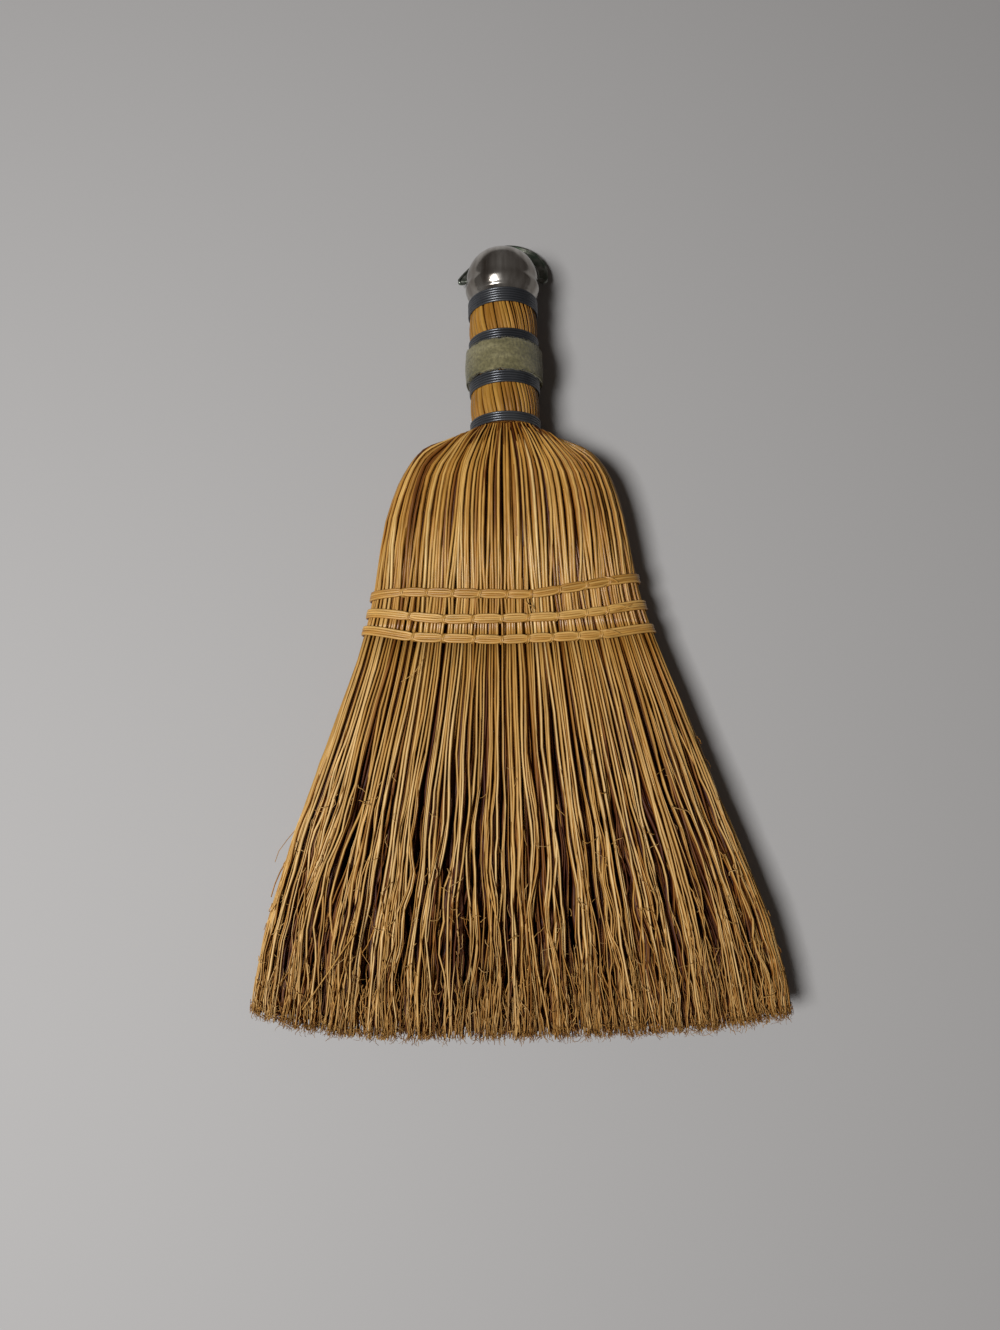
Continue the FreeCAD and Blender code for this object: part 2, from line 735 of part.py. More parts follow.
def make_cap():
    """A thin spun cap with a rolled bead, hollowed out and pierced for the pins of the ring."""
    body = document.addObject("PartDesign::Body", "end_cap")
    outside = body_sketch(body, "outside", "XY_Plane")
    cap_profile(outside, Length(0.0, "0"), dim("cap_lip_radius"))
    spun = body.newObject("PartDesign::Revolution", "spun_cup")
    spun.Profile = outside
    spun.ReferenceAxis = (outside, ["V_Axis"])
    document.recompute()

    inside = body_sketch(body, "inside", "XY_Plane")
    cap_profile(inside, dim("cap_sheet"), dim("cap_lip_bore"))
    hollow = body.newObject("PartDesign::Groove", "hollow")
    hollow.Profile = inside
    hollow.ReferenceAxis = (inside, ["V_Axis"])
    document.recompute()

    holes = body_sketch(body, "pin_holes", "YZ_Plane")
    hole_radius = dim("ring_pin_radius") + dim("ring_pin_clearance")
    centre = Vector(value("ring_hinge_reach"), -value("ring_hinge_drop"), 0)
    holes.addGeometry(Part.Circle(centre, Vector(0, 0, 1), hole_radius.value))
    hold(holes, "Radius", (0,), hole_radius)
    hold(holes, "DistanceX", (-1, 1, 0, 3), dim("ring_hinge_reach"))
    hold(holes, "DistanceY", (0, 3, -1, 1), dim("ring_hinge_drop"))
    pierced = body.newObject("PartDesign::Pocket", "pierced")
    pierced.Profile = holes
    pierced.Type = "ThroughAll"
    pierced.SideType = "Symmetric"
    document.recompute()
    print(f"cap: spun {spun.Shape.Volume:.0f}, hollowed {hollow.Shape.Volume:.0f},",
          f"pierced {pierced.Shape.Volume:.1f} mm3")
    return settle(body, "end_cap")


def make_ring():
    """A half ring of rimmed strip with rounded ends and two pins, tilted down to the floor."""
    body = document.addObject("PartDesign::Body", "hang_ring")
    outer = dim("ring_outer_radius")
    inner = outer - dim("ring_strip_width")
    half_strip = dim("ring_strip") / 2
    rim = dim("ring_rim_height") - half_strip
    rim_inner = outer - dim("ring_strip")

    section = body_sketch(body, "strip_section", "XZ_Plane")
    straight_outline(
        section,
        [
            (inner, -half_strip),
            (outer, -half_strip),
            (outer, rim),
            (rim_inner, rim),
            (rim_inner, half_strip),
            (inner, half_strip),
        ],
    )
    bow = body.newObject("PartDesign::Revolution", "bow")
    bow.Profile = section
    bow.ReferenceAxis = (section, ["V_Axis"])
    bow.Angle = 180
    document.recompute()
    if bow.Shape.BoundBox.YMax < bow.Shape.BoundBox.XMax / 2:
        bow.Reversed = True

    middle = outer - dim("ring_strip_width") / 2
    round_end = body_sketch(body, "round_end", "XY_Plane")
    round_end.addGeometry(
        Part.Circle(Vector(middle.value, 0, 0), Vector(0, 0, 1), value("ring_strip_width") / 2)
    )
    hold(round_end, "Radius", (0,), dim("ring_strip_width") / 2)
    hold(round_end, "DistanceX", (-1, 1, 0, 3), middle)
    round_end.addConstraint(Sketcher.Constraint("PointOnObject", 0, 3, -1))
    tab = body.newObject("PartDesign::Pad", "end_tab")
    tab.Profile = round_end
    tab.SideType = "Symmetric"
    bind(tab, Length=dim("ring_strip"))
    document.recompute()

    pin_section = body_sketch(body, "pin_section", "YZ_Plane")
    pin_section.addGeometry(Part.Circle(Vector(), Vector(0, 0, 1), value("ring_pin_radius")))
    hold(pin_section, "Radius", (0,), dim("ring_pin_radius"))
    pin_section.addConstraint(Sketcher.Constraint("Coincident", 0, 3, -1, 1))
    bind(pin_section, AttachmentOffset__Base__z=dim("ring_pin_end"))
    pin = body.newObject("PartDesign::Pad", "hinge_pin")
    pin.Profile = pin_section
    bind(pin, Length=middle - dim("ring_pin_end"))
    document.recompute()

    pair = body.newObject("PartDesign::Mirrored", "both_ends")
    pair.Originals = [tab, pin]
    plane = [feature for feature in body.Origin.OriginFeatures if feature.Role == "YZ_Plane"]
    pair.MirrorPlane = (plane[0], [""])
    body.Tip = pair
    body.Label = "hang_ring"
    body.Placement = FreeCAD.Placement(
        Vector(), FreeCAD.Rotation(Vector(-1, 0, 0), value("ring_rest_tilt"))
    )
    bind(body, Placement__Rotation__Angle=dim("ring_rest_tilt"))
    bind(body, Placement__Base__y=dim("ring_hinge_reach") - dim("tip_offset"))
    bind(body, Placement__Base__z=dim("axis_height") - dim("ring_hinge_drop"))
    return body


# Building, testing and writing

def build():
    parts = make_bundles()
    handle_radius = value("handle_radius")
    parts.append(make_wire_band("inner_binding_wire", "binding", value("core_radius")))
    for place in ("cap", "upper", "lower", "neck"):
        parts.append(make_wire_band(f"wire_band_{place}", f"{place}_band", handle_radius))
    for row in STITCH_ROWS:
        parts.append(make_wrap(row))
        parts.append(make_ties(row))
    parts.append(make_plush())
    parts.append(make_cap())
    parts.append(make_ring())
    document.recompute()
    return parts


def check(parts):
    """Stops the build where an object failed or a sub-part has no sound shape."""
    for thing in document.Objects:
        if "Invalid" in thing.State or "Error" in thing.State:
            raise RuntimeError(f"{thing.Label} failed: {thing.State}")
    for part in parts:
        if part.Shape.isNull() or not part.Shape.isValid():
            raise RuntimeError(f"{part.Label} has no sound shape")
        print(f"{part.Label}: {len(part.Shape.Solids)} solid(s), {part.Shape.Volume:.0f} mm3")


def write(parts):
    os.makedirs("parts", exist_ok=True)
    for part in parts:
        part.Shape.exportStep(f"parts/{part.Label}.step")


fill_sheet()
finished = build()
check(finished)
write(finished)
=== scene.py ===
import math

import bpy
import numpy as np
from mathutils import Matrix, Vector


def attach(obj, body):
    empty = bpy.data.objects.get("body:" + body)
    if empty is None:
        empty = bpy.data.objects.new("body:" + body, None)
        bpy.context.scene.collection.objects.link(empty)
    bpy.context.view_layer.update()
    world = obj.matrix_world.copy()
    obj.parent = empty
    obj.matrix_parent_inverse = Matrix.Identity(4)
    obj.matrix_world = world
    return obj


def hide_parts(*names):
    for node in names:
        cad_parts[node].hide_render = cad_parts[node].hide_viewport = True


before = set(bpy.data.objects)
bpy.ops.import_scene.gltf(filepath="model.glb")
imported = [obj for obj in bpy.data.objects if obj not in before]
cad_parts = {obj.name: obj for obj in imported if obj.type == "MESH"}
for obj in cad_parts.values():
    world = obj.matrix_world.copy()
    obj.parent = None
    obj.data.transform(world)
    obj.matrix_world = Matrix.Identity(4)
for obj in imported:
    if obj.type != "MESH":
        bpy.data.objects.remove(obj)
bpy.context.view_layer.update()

# Sizes are in millimetres. Reach is the distance from the bristle tips along the handle.
MM = 0.001
TIP_OFFSET = 170.69
AXIS_HEIGHT = 17.0

# The head's outline: reach, half width on the left, half width on the right, half depth
HEAD_OUTLINE = (
    (330, 14.4, 14.4, 14.4), (244.6, 14.3, 14.3, 14), (242.6, 20.5, 17, 14.6),
    (241.2, 27.5, 22.4, 15), (238.6, 36, 31.4, 15.8), (236.5, 39.2, 35.8, 16.3),
    (229.5, 43, 42, 17.1), (219, 48, 46.8, 17.3), (204, 52.6, 50.2, 16.6),
    (192, 54.5, 52.2, 15.3), (176, 56.9, 54.4, 12.9), (165, 59.3, 57, 12.5),
    (150, 63.4, 62, 12.9), (122, 73.2, 72.6, 14.2), (80, 88.6, 87, 15.9),
    (40, 100.6, 101.2, 17), (16, 105, 106.6, 17.4), (-12, 107.2, 108.6, 17.6),
)
HANDLE_SHAPE = 2.0
HEAD_SHAPE = 2.45
LEFT_CORNER_LIFT, RIGHT_CORNER_LIFT = 9.0, 3.5
CORNER_WIDTH = 105.0

# Stitch rows: the twine's reach at places across the head, and where its ties are
STITCH_ROWS = {
    "top": {
        "run": ((-57.3, 173.7), (-43.9, 173.9), (-22.9, 172.4), (-1.9, 171.5), (8.6, 171.1),
                (20, 173), (31.1, 174.7), (40.7, 176.5), (57, 179.6)),
        "ties": (-43.6, -33.4, -22.9, -12, -1.1, 8.6, 20, 31, 40.4),
    },
    "middle": {
        "run": ((-59.6, 166.8), (-41, 163.7), (-26.7, 161.8), (-3.3, 161.5), (18.9, 161.9),
                (39.3, 164.4), (58.6, 168.3)),
        "ties": (-40.8, -26.7, -15, -3.3, 7.2, 18.9, 30.6, 39.1),
    },
    "bottom": {
        "run": ((-62.7, 159.9), (-39.4, 154.9), (-3.5, 152.7), (16.6, 153.4), (36.5, 154.2),
                (61.5, 158.4)),
        "ties": (-39.3, -27.2, -14.7, -3.5, 7, 16.6, 27.1, 36.3),
    },
}
TWINE_RADIUS = 0.56
TWINE_PITCH = 0.94
TWINE_STRANDS = 4

# Lines where the tufts part, as shares of the half width
TUFT_GROOVES = (-0.87, -0.72, -0.58, -0.43, -0.3, -0.19, -0.05, 0.09, 0.2, 0.34, 0.46, 0.6, 0.74, 0.89)
GROOVE_HALF_WIDTH = 2.3
GROOVE_SHIFT = 0.5
GROOVE_DEPTH = 1.8

# Wire bands: foot of the band and its turns
WIRE_BANDS = {"cap": (297.1, 6), "upper": (279.7, 5), "lower": (261.2, 5), "neck": (244.3, 4)}
WIRE_RADIUS = 0.53
WIRE_PITCH = 1.07
WIRE_RUN_RADIUS = 14.68

PLUSH_REACH = (266.5, 279.8)
PLUSH_INNER = 14.5
PLUSH_THICK = 2.0

# Half section of the cap from its crown to its lip: radius and reach
CAP_SECTION = (
    (0, 328), (3, 327.8), (6, 327.1), (9, 325.8), (11.4, 324.1), (13.2, 322), (14.5, 319.6),
    (15.25, 317.4), (15.6, 315.8), (15.62, 314.6), (15.55, 313.4), (15.55, 312.4), (15.75, 311.4),
    (16.05, 310.5), (16.15, 309.7), (16, 309), (15.65, 308), (15.27, 307), (14.95, 306.2),
    (14.4, 305.6), (14.25, 305), (14.2, 304.2), (14.2, 303),
)
CAP_WALL = 0.5

# Hanging ring: its hinge, its rimmed strip and its pins. The bow leans to the right, its left side tucked in
RING_HINGE = (0.0, 321.0, -11.0)
RING_RADIUS = 20.3
RING_WIDTH = 4.2
RING_STRIP = 0.8
RING_RIM = 1.7
RING_EDGE = 0.3
RING_RUN_ON, RING_ROUND_END = 6, 6.2
RING_TILT = math.radians(15.5)
RING_SHIFT = 0.5
RING_LEAN = 0.12
RING_LEFT_TUCK, RING_TUCK_LENGTH = 0.2, 9
PIN_RADIUS = 0.85
PIN_REACH = (8.6, 18.6)

rng = np.random.default_rng(1871)


def to_frame(points):
    """Broom measures (across, reach, height over the handle's axis) to the part's frame in metres."""
    return (np.asarray(points) + (0.0, -TIP_OFFSET, AXIS_HEIGHT)) * MM


# Head surface

REACHES = np.arange(-12.0, 331.0, 1.0)
NECK_REACHES = (239, 240, 241.5, 242.6, 243.6, 244.4, 246, 330)
NECK_RADII = (200, 36, 22, 17, 15, 14.3, 13.6, 13.6)
AROUND = np.linspace(-1.0, 1.0, 361)
FRONT = np.abs(AROUND) <= 0.5
OUTLINE_SMOOTHING = 5
SHAPE_REACHES = (200, 244)
SHOULDER_REACH = 215
FAN_SHARES, FAN_SMOOTHING = (0.75, 0.99), (33, 3)


def smoothed(values, width):
    padded = np.pad(values, width // 2, mode="edge")
    return np.convolve(padded, np.ones(width) / width, mode="valid")


def outline_column(index):
    rows = sorted(HEAD_OUTLINE)
    column = np.interp(REACHES, [row[0] for row in rows], [row[index] for row in rows])
    return smoothed(column, OUTLINE_SMOOTHING)


LEFT, RIGHT, DEPTH = outline_column(1), outline_column(2), outline_column(3)
WIDTH = (LEFT + RIGHT) / 2
SHAPE = np.interp(REACHES, SHAPE_REACHES, (HEAD_SHAPE, HANDLE_SHAPE))


def head_surface():
    """The rounded cross-sections of the broom, in equal steps around each one from its back seam."""
    turn = np.linspace(0, math.pi, 181)
    half = np.abs(AROUND)
    across = np.zeros((len(REACHES), len(AROUND)))
    height = np.zeros_like(across)
    girth = np.zeros(len(REACHES))
    for i in range(len(REACHES)):
        power = 2 / SHAPE[i]
        z = DEPTH[i] * np.sign(np.cos(turn)) * np.abs(np.cos(turn)) ** power
        for side, width in ((-1, LEFT[i]), (1, RIGHT[i])):
            x = side * width * np.abs(np.sin(turn)) ** power
            run = np.concatenate(([0], np.cumsum(np.hypot(np.diff(x), np.diff(z)))))
            girth[i] += run[-1] / 2
            here = AROUND * side >= 0
            across[i, here] = np.interp(half[here], run / run[-1], x)
            height[i, here] = np.interp(half[here], run / run[-1], z)
    return across, height, girth


def fanned(across):
    """Inner straws fan out of the neck in an easy curve; only the outermost ones turn the sharp corner."""
    shoulder = int(SHOULDER_REACH - REACHES[0])
    share = np.abs(across[shoulder]) / WIDTH[shoulder]
    eased = across.copy()
    for column, part in enumerate(share):
        width = int(np.interp(part, FAN_SHARES, FAN_SMOOTHING)) | 1
        eased[:, column] = smoothed(across[:, column], width)
    return eased


ACROSS, HEIGHT, GIRTH = head_surface()
FANNED = fanned(ACROSS)


def sample(table, row, column):
    r0 = np.clip(row.astype(int), 0, table.shape[0] - 2)
    c0 = np.clip(column.astype(int), 0, table.shape[1] - 2)
    fr, fc = row - r0, column - c0
    upper = table[r0, c0] * (1 - fc) + table[r0, c0 + 1] * fc
    lower = table[r0 + 1, c0] * (1 - fc) + table[r0 + 1, c0 + 1] * fc
    return upper * (1 - fr) + lower * fr


def on_broom(around, reach, inset):
    """Points on the broom's outside, or inset below it. Around is 0 at the front and 1 at the back."""
    around, reach, inset = np.broadcast_arrays(around, reach, inset)
    row = np.clip(reach - REACHES[0], 0, len(REACHES) - 1.001)
    column = ((around + 1) % 2) / 2 * (len(AROUND) - 1)
    x = sample(FANNED, row, column)
    z = sample(HEIGHT, row, column)
    width = np.interp(reach, REACHES, WIDTH)
    depth = np.interp(reach, REACHES, DEPTH)
    x, z = x * (1 - inset / width), z * (1 - inset / depth)
    drawn_in = np.minimum(1, np.interp(reach, NECK_REACHES, NECK_RADII) / np.maximum(np.hypot(x, z), 1e-6))
    return np.stack([x * drawn_in, reach, z * drawn_in], -1)


def around_at(x, reach, back=False):
    """The place around the broom that lies x to the side of its middle line."""
    row = int(np.clip(round(reach - REACHES[0]), 0, len(REACHES) - 1))
    place = np.interp(x, ACROSS[row, FRONT], AROUND[FRONT])
    if back:
        place = np.sign(place) - place if place else 1.0
    return place


def girth_at(reach):
    """Half of the way round the broom, which is one unit of around."""
    return np.interp(reach, REACHES, GIRTH)


# Rods: straws, wire and twine are copies of one rod laid along paths

def go_to(mode):
    bpy.ops.object.mode_set(mode=mode)


def deselect():
    if bpy.context.object and bpy.context.object.mode != "OBJECT":
        go_to("OBJECT")
    bpy.ops.object.select_all(action="DESELECT")


MOST_CUTS = 100


def model_rod(sides, steps):
    """A straight rod, one unit long and one unit in radius, cut across into equal steps."""
    deselect()
    bpy.ops.mesh.primitive_cylinder_add(vertices=sides, radius=1, depth=1, location=(0, 0, 0.5))
    rod = bpy.context.object
    bpy.ops.object.transform_apply(location=True, rotation=False, scale=False)
    coarse = next(n for n in range(min(steps, MOST_CUTS), 0, -1) if steps % n == 0)
    for parts in (coarse, steps // coarse):
        if parts == 1:
            continue
        go_to("EDIT")
        bpy.ops.mesh.select_mode(type="EDGE")
        bpy.ops.mesh.select_all(action="DESELECT")
        go_to("OBJECT")
        for edge in rod.data.edges:
            ends = [rod.data.vertices[i].co.z for i in edge.vertices]
            edge.select = abs(ends[0] - ends[1]) > 1e-6
        go_to("EDIT")
        bpy.ops.mesh.subdivide(number_cuts=parts - 1)
        go_to("OBJECT")
    points = np.array([v.co[:] for v in rod.data.vertices])
    faces = [tuple(p.vertices) for p in rod.data.polygons]
    ring = np.round(points[:, 2] * steps).astype(int)
    walls = [len({ring[v] for v in face}) > 1 for face in faces]
    bpy.data.objects.remove(rod)
    return {"ring": ring, "round": points[:, :2], "faces": faces, "walls": walls}


def unit(vectors):
    return vectors / np.maximum(np.linalg.norm(vectors, axis=-1, keepdims=True), 1e-9)


def outward(paths):
    """The way out of the broom at each point of its straws."""
    width = np.interp(paths[..., 1], REACHES, WIDTH)
    depth = np.interp(paths[..., 1], REACHES, DEPTH)
    out = np.stack((paths[..., 0] / width ** 2, np.zeros_like(width), paths[..., 2] / depth ** 2), -1)
    return unit(out + (1e-6, 0, 2e-6))


def note(mesh, name, kind, field, values):
    mesh.attributes.new(name, kind, "POINT").data.foreach_set(field, np.asarray(values, np.float32).ravel())


GRAIN_ROOM = 60
GRAIN_STEP = 0.1


def draw_grain(count):
    return rng.uniform(0, GRAIN_ROOM, (count, 1, 3))


def above_floor(points, clearance):
    points[..., 2] = np.maximum(points[..., 2], clearance - AXIS_HEIGHT)
    return points


def refined(points, count):
    """A path of straight legs, given more points."""
    points = np.asarray(points, float)
    fine = np.linspace(0, len(points) - 1, count)
    return np.stack([np.interp(fine, range(len(points)), points[:, k]) for k in range(3)], -1)


def round_handle(run, turn, reach):
    """Points round the handle's axis; turn is 0 at the front."""
    return np.stack(np.broadcast_arrays(run * np.sin(turn), reach, run * np.cos(turn)), -1)


def bring_in(name, data):
    thing = bpy.data.objects.new(name, data)
    bpy.context.collection.objects.link(thing)
    return thing


def new_piece(name, points, edges, faces):
    mesh = bpy.data.meshes.new(name)
    mesh.from_pydata(to_frame(points), edges, faces)
    return bring_in(name, mesh)


def lay_rods(name, rod, paths, radii, tints, hint=None, flat=1.0, boxy=1.0, grain=None):
    """Copies of a rod laid along paths (rods, rings, 3) and joined into one piece."""
    paths = np.asarray(paths, float)
    count = len(paths)
    radii = np.broadcast_to(radii, paths.shape[:2])
    flat = np.broadcast_to(flat, (count,))
    along = unit(np.gradient(paths, axis=1))
    side = unit(np.cross(along, outward(paths) if hint is None else hint))
    face = np.cross(side, along)
    ring = rod["ring"]
    turn = np.sign(rod["round"]) * np.abs(rod["round"]) ** boxy
    wide = side[:, ring] * turn[:, 0, None]
    deep = face[:, ring] * turn[:, 1, None] * flat[:, None, None]
    points = above_floor(paths[:, ring] + radii[:, ring, None] * (wide + deep), 0.0)
    size = len(ring)
    faces = [tuple(v + i * size for v in f) for i in range(count) for f in rod["faces"]]
    piece = new_piece(name, points.reshape(-1, 3), [], faces)
    piece.data.polygons.foreach_set("use_smooth", np.tile(rod["walls"], count))
    legs = np.linalg.norm(np.diff(paths, axis=1), axis=2)
    run = np.concatenate((np.zeros((count, 1)), np.cumsum(legs, 1)), 1)
    own, run = grain or (draw_grain(count), run)
    place = np.concatenate((np.broadcast_to(turn, (count, size, 2)), run[:, ring, None] * GRAIN_STEP), 2)
    tints = np.asarray(tints, float)
    tints = np.broadcast_to(tints if tints.ndim == 2 else tints[:, None], paths.shape[:2])
    note(piece.data, "tint", "FLOAT", "value", tints[:, ring])
    note(piece.data, "grain", "FLOAT_VECTOR", "vector", place + own)
    # painted_side_shade is 1 on each rod's outward face and lower round its flanks; the straw material uses
    # it to paint shade on the flanks.
    note(piece.data, "painted_side_shade", "FLOAT", "value", np.tile(turn[:, 1], count))
    return piece


def coat(piece, material):
    piece.data.materials.clear()
    piece.data.materials.append(material)


def settle(piece, material, nodes=(), body="broom"):
    coat(piece, material)
    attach(piece, body)
    if nodes:
        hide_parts(*nodes)


# Materials

def start_material(name):
    material = bpy.data.materials.new(name)
    material.use_nodes = True
    return material, material.node_tree, material.node_tree.nodes["Principled BSDF"]


def add(tree, kind, **settings):
    node = tree.nodes.new("ShaderNode" + kind)
    for key, value in settings.items():
        if hasattr(node, key):
            setattr(node, key, value)
        else:
            node.inputs[key.replace("_", " ").title()].default_value = value
    return node


def ramp(tree, source, stops, output="Fac"):
    """Colours for the values that a node gives."""
    node = add(tree, "ValToRGB")
    band = node.color_ramp
    while len(band.elements) < len(stops):
        band.elements.new(0.5)
    for element, (place, colour) in zip(band.elements, stops):
        element.position = place
        element.color = (*colour, 1)
    tree.links.new(source.outputs[output], node.inputs["Fac"])
    return node.outputs["Color"]


def blend(tree, kind, first, second, factor=1.0):
    """Mixes two colours; either one, and the factor, may be a socket or a plain value."""
    node = add(tree, "Mix", data_type="RGBA", blend_type=kind)
    for name, source in (("Factor", factor), ("A", first), ("B", second)):
        if isinstance(source, bpy.types.NodeSocket):
            tree.links.new(source, node.inputs[name])
        else:
            node.inputs[name].default_value = source
    return node.outputs["Result"]


def give(node, values):
    for socket, value in values.items():
        node.inputs[socket].default_value = value


def join(tree, *links):
    """Each link is a node, its output, the next node and its input."""
    for source, output, target, socket in links:
        tree.links.new(source.outputs[output], target.inputs[socket])


def roughen(tree, shader, noise, strength, distance):
    bump = add(tree, "Bump", strength=strength, distance=distance)
    join(tree, (noise, "Fac", bump, "Height"), (bump, "Normal", shader, "Normal"))


def grey(value):
    return (value, value, value)


STRAW_STOPS = (
    (0.0, (0.07, 0.015, 0.001)), (0.2, (0.215, 0.074, 0.007)), (0.42, (0.43, 0.202, 0.032)),
    (0.65, (0.57, 0.307, 0.066)), (0.85, (0.68, 0.41, 0.12)), (1.0, (0.8, 0.545, 0.22)),
)
BRUSH_STOPS = (
    (0.0, (0.07, 0.014, 0.001)), (0.2, (0.21, 0.07, 0.007)), (0.42, (0.43, 0.208, 0.04)),
    (0.65, (0.57, 0.322, 0.085)), (0.85, (0.67, 0.418, 0.145)), (1.0, (0.78, 0.53, 0.23)),
)
STALK_STOPS = (
    (0.0, (0.105, 0.04, 0.005)), (0.3, (0.24, 0.1, 0.011)), (0.6, (0.33, 0.147, 0.016)),
    (1.0, (0.435, 0.226, 0.036)),
)
TWINE_STOPS = (
    (0.0, (0.27, 0.122, 0.02)), (0.5, (0.48, 0.24, 0.048)), (1.0, (0.65, 0.386, 0.112)),
)
MAUVE = (0.33, 0.16, 0.072, 1)
DUST = (0.3, 0.18, 0.09, 1)
FIBRE_STOPS = ((0.3, grey(0.62)), (0.48, grey(0.95)), (0.7, grey(1.16)))
PATCH_STOPS = ((0.54, grey(0)), (0.74, grey(0.28)))
BLOTCH_GAIN, BLOTCH_DROP = 0.4, -0.2
DUSTY_FROM, DUSTY_TO = -0.168, -0.125
WAX_ROUGHNESS = 0.28


def straw_material(name, stops, rough, deep, dusty=0.0, waxy=0.0, sheen=0.5):
    """Grained straw: shades from straw to straw and along each one, painted shade on the flanks, dust at the
    tips.
    """
    material, tree, shader = start_material(name)
    notes = ("tint", "grain", "painted_side_shade")
    tint, grain, painted_side_shade = (add(tree, "Attribute", attribute_name=key) for key in notes)
    streak = add(tree, "TexNoise", scale=1.1, detail=4.0, roughness=0.6)
    blotch = add(tree, "TexNoise", scale=0.22, detail=2.0)
    shift = add(tree, "Math", operation="MULTIPLY_ADD")
    give(shift, {1: BLOTCH_GAIN, 2: BLOTCH_DROP})
    shade = add(tree, "Math", operation="ADD")
    join(tree, (grain, "Vector", streak, "Vector"), (grain, "Vector", blotch, "Vector"),
         (blotch, "Fac", shift, 0), (tint, "Fac", shade, 0), (shift, 0, shade, 1))
    colour = ramp(tree, shade, stops, "Value")
    fibre = ramp(tree, streak, FIBRE_STOPS)
    patch = ramp(tree, blotch, PATCH_STOPS, "Color")
    # Painted shade on the flanks: where the rod turns away from the outside, its colour is multiplied down
    # to edge, which deep sets.
    edge = (deep, 0.6 * deep, 0.2 * deep)
    flank_painted_half_shade = (0.4 + 0.6 * deep, 0.31 + 0.6 * deep, 0.16 + 0.6 * deep)
    flank_painted_shade = ramp(tree, painted_side_shade, ((0.0, edge), (0.35, flank_painted_half_shade), (0.85, grey(1.0))))
    gloss = ramp(tree, streak, ((0.3, grey(rough[0])), (0.7, grey(rough[1]))))
    tree.links.new(gloss, shader.inputs["Roughness"])
    roughen(tree, shader, streak, 0.6, 0.0003)
    result = blend(tree, "MULTIPLY", colour, fibre)
    result = blend(tree, "MIX", result, MAUVE, patch)
    if dusty:
        place = add(tree, "TexCoord")
        split = add(tree, "SeparateXYZ")
        near_tip = add(tree, "MapRange", from_min=DUSTY_FROM, from_max=DUSTY_TO, to_min=dusty, to_max=0.0)
        join(tree, (place, "Object", split, "Vector"), (split, "Y", near_tip, "Value"))
        result = blend(tree, "MIX", result, DUST, near_tip.outputs["Result"])
    result = blend(tree, "MULTIPLY", result, flank_painted_shade)
    tree.links.new(result, shader.inputs["Base Color"])
    give(shader, {"Specular IOR Level": sheen, "Coat Weight": waxy, "Coat Roughness": WAX_ROUGHNESS})
    return material


def stretched_noise(tree, stretch, **settings):
    """A noise on the part's own coordinates, drawn out along some of them."""
    place = add(tree, "TexCoord")
    drawn = add(tree, "Mapping", scale=stretch)
    noise = add(tree, "TexNoise", **settings)
    join(tree, (place, "Object", drawn, "Vector"), (drawn, "Vector", noise, "Vector"))
    return noise


def metal_material(name, colours, rough, grain_scale, stretch, metallic, bump_strength=0.05):
    """Metal with streaks of tone and gloss, stretched along or across the handle."""
    material, tree, shader = start_material(name)
    streak = stretched_noise(tree, stretch, scale=grain_scale, detail=4.0)
    tone = ramp(tree, streak, tuple(zip((0.32, 0.5, 0.68), colours)))
    gloss = ramp(tree, streak, ((0.3, grey(rough[0])), (0.75, grey(rough[1]))))
    tree.links.new(tone, shader.inputs["Base Color"])
    tree.links.new(gloss, shader.inputs["Roughness"])
    roughen(tree, shader, streak, bump_strength, 0.0002)
    give(shader, {"Metallic": metallic})
    return material


def plush_material():
    """Worn plush: darker rubbed streaks round the grip and a fine nap."""
    material, tree, shader = start_material("worn_plush")
    nap = stretched_noise(tree, (1, 1, 1), scale=900.0, detail=4.0)
    worn = stretched_noise(tree, (0.3, 1, 0.3), scale=190.0, detail=5.0, roughness=0.65)
    tone = ramp(tree, worn, ((0.3, (0.072, 0.067, 0.026)), (0.45, (0.142, 0.125, 0.056)),
                             (0.58, (0.182, 0.16, 0.077)), (0.75, (0.255, 0.228, 0.122))))
    fleck = ramp(tree, nap, ((0.3, grey(0.6)), (0.65, grey(1.1))))
    roughen(tree, shader, nap, 0.9, 0.0005)
    result = blend(tree, "MULTIPLY", tone, fleck)
    tree.links.new(result, shader.inputs["Base Color"])
    give(shader, {"Roughness": 0.95, "Sheen Weight": 0.3, "Sheen Roughness": 0.5})
    return material


# The fourth number, deep, sets how dark each straw material's painted flank shade is.
straw = straw_material("broom_straw", STRAW_STOPS, (0.3, 0.44), 0.5, waxy=0.4)
brush = straw_material("brush_straw", BRUSH_STOPS, (0.42, 0.6), 0.42, dusty=0.12, sheen=0.25)
bristle = straw_material("fine_bristle", BRUSH_STOPS, (0.5, 0.66), 0.55, dusty=0.15, sheen=0.2)
stalk = straw_material("handle_stalk", STALK_STOPS, (0.36, 0.5), 0.6)
twine = straw_material("sewing_twine", TWINE_STOPS, (0.34, 0.5), 0.6)
wire = metal_material("band_wire", ((0.05, 0.053, 0.06), (0.07, 0.074, 0.083), (0.1, 0.104, 0.11)),
                      (0.24, 0.32), 60.0, (1, 1, 1), metallic=0.6, bump_strength=0.02)
# The nickel's tones are stretched along the cap: partly brushing, partly painted reflection of the room as
# dark and pale bands.
nickel = metal_material("nickel_wear_and_painted_reflection", ((0.13, 0.105, 0.085), (0.37, 0.343, 0.31), (0.72, 0.69, 0.645)),
                        (0.13, 0.24), 120.0, (1, 0.03, 1), metallic=0.9)
tarnish = metal_material("tarnished_nickel", ((0.055, 0.09, 0.06), (0.14, 0.15, 0.125), (0.32, 0.315, 0.29)),
                         (0.26, 0.44), 260.0, (1, 1, 1), metallic=0.7)
plush = plush_material()


# Straw layers

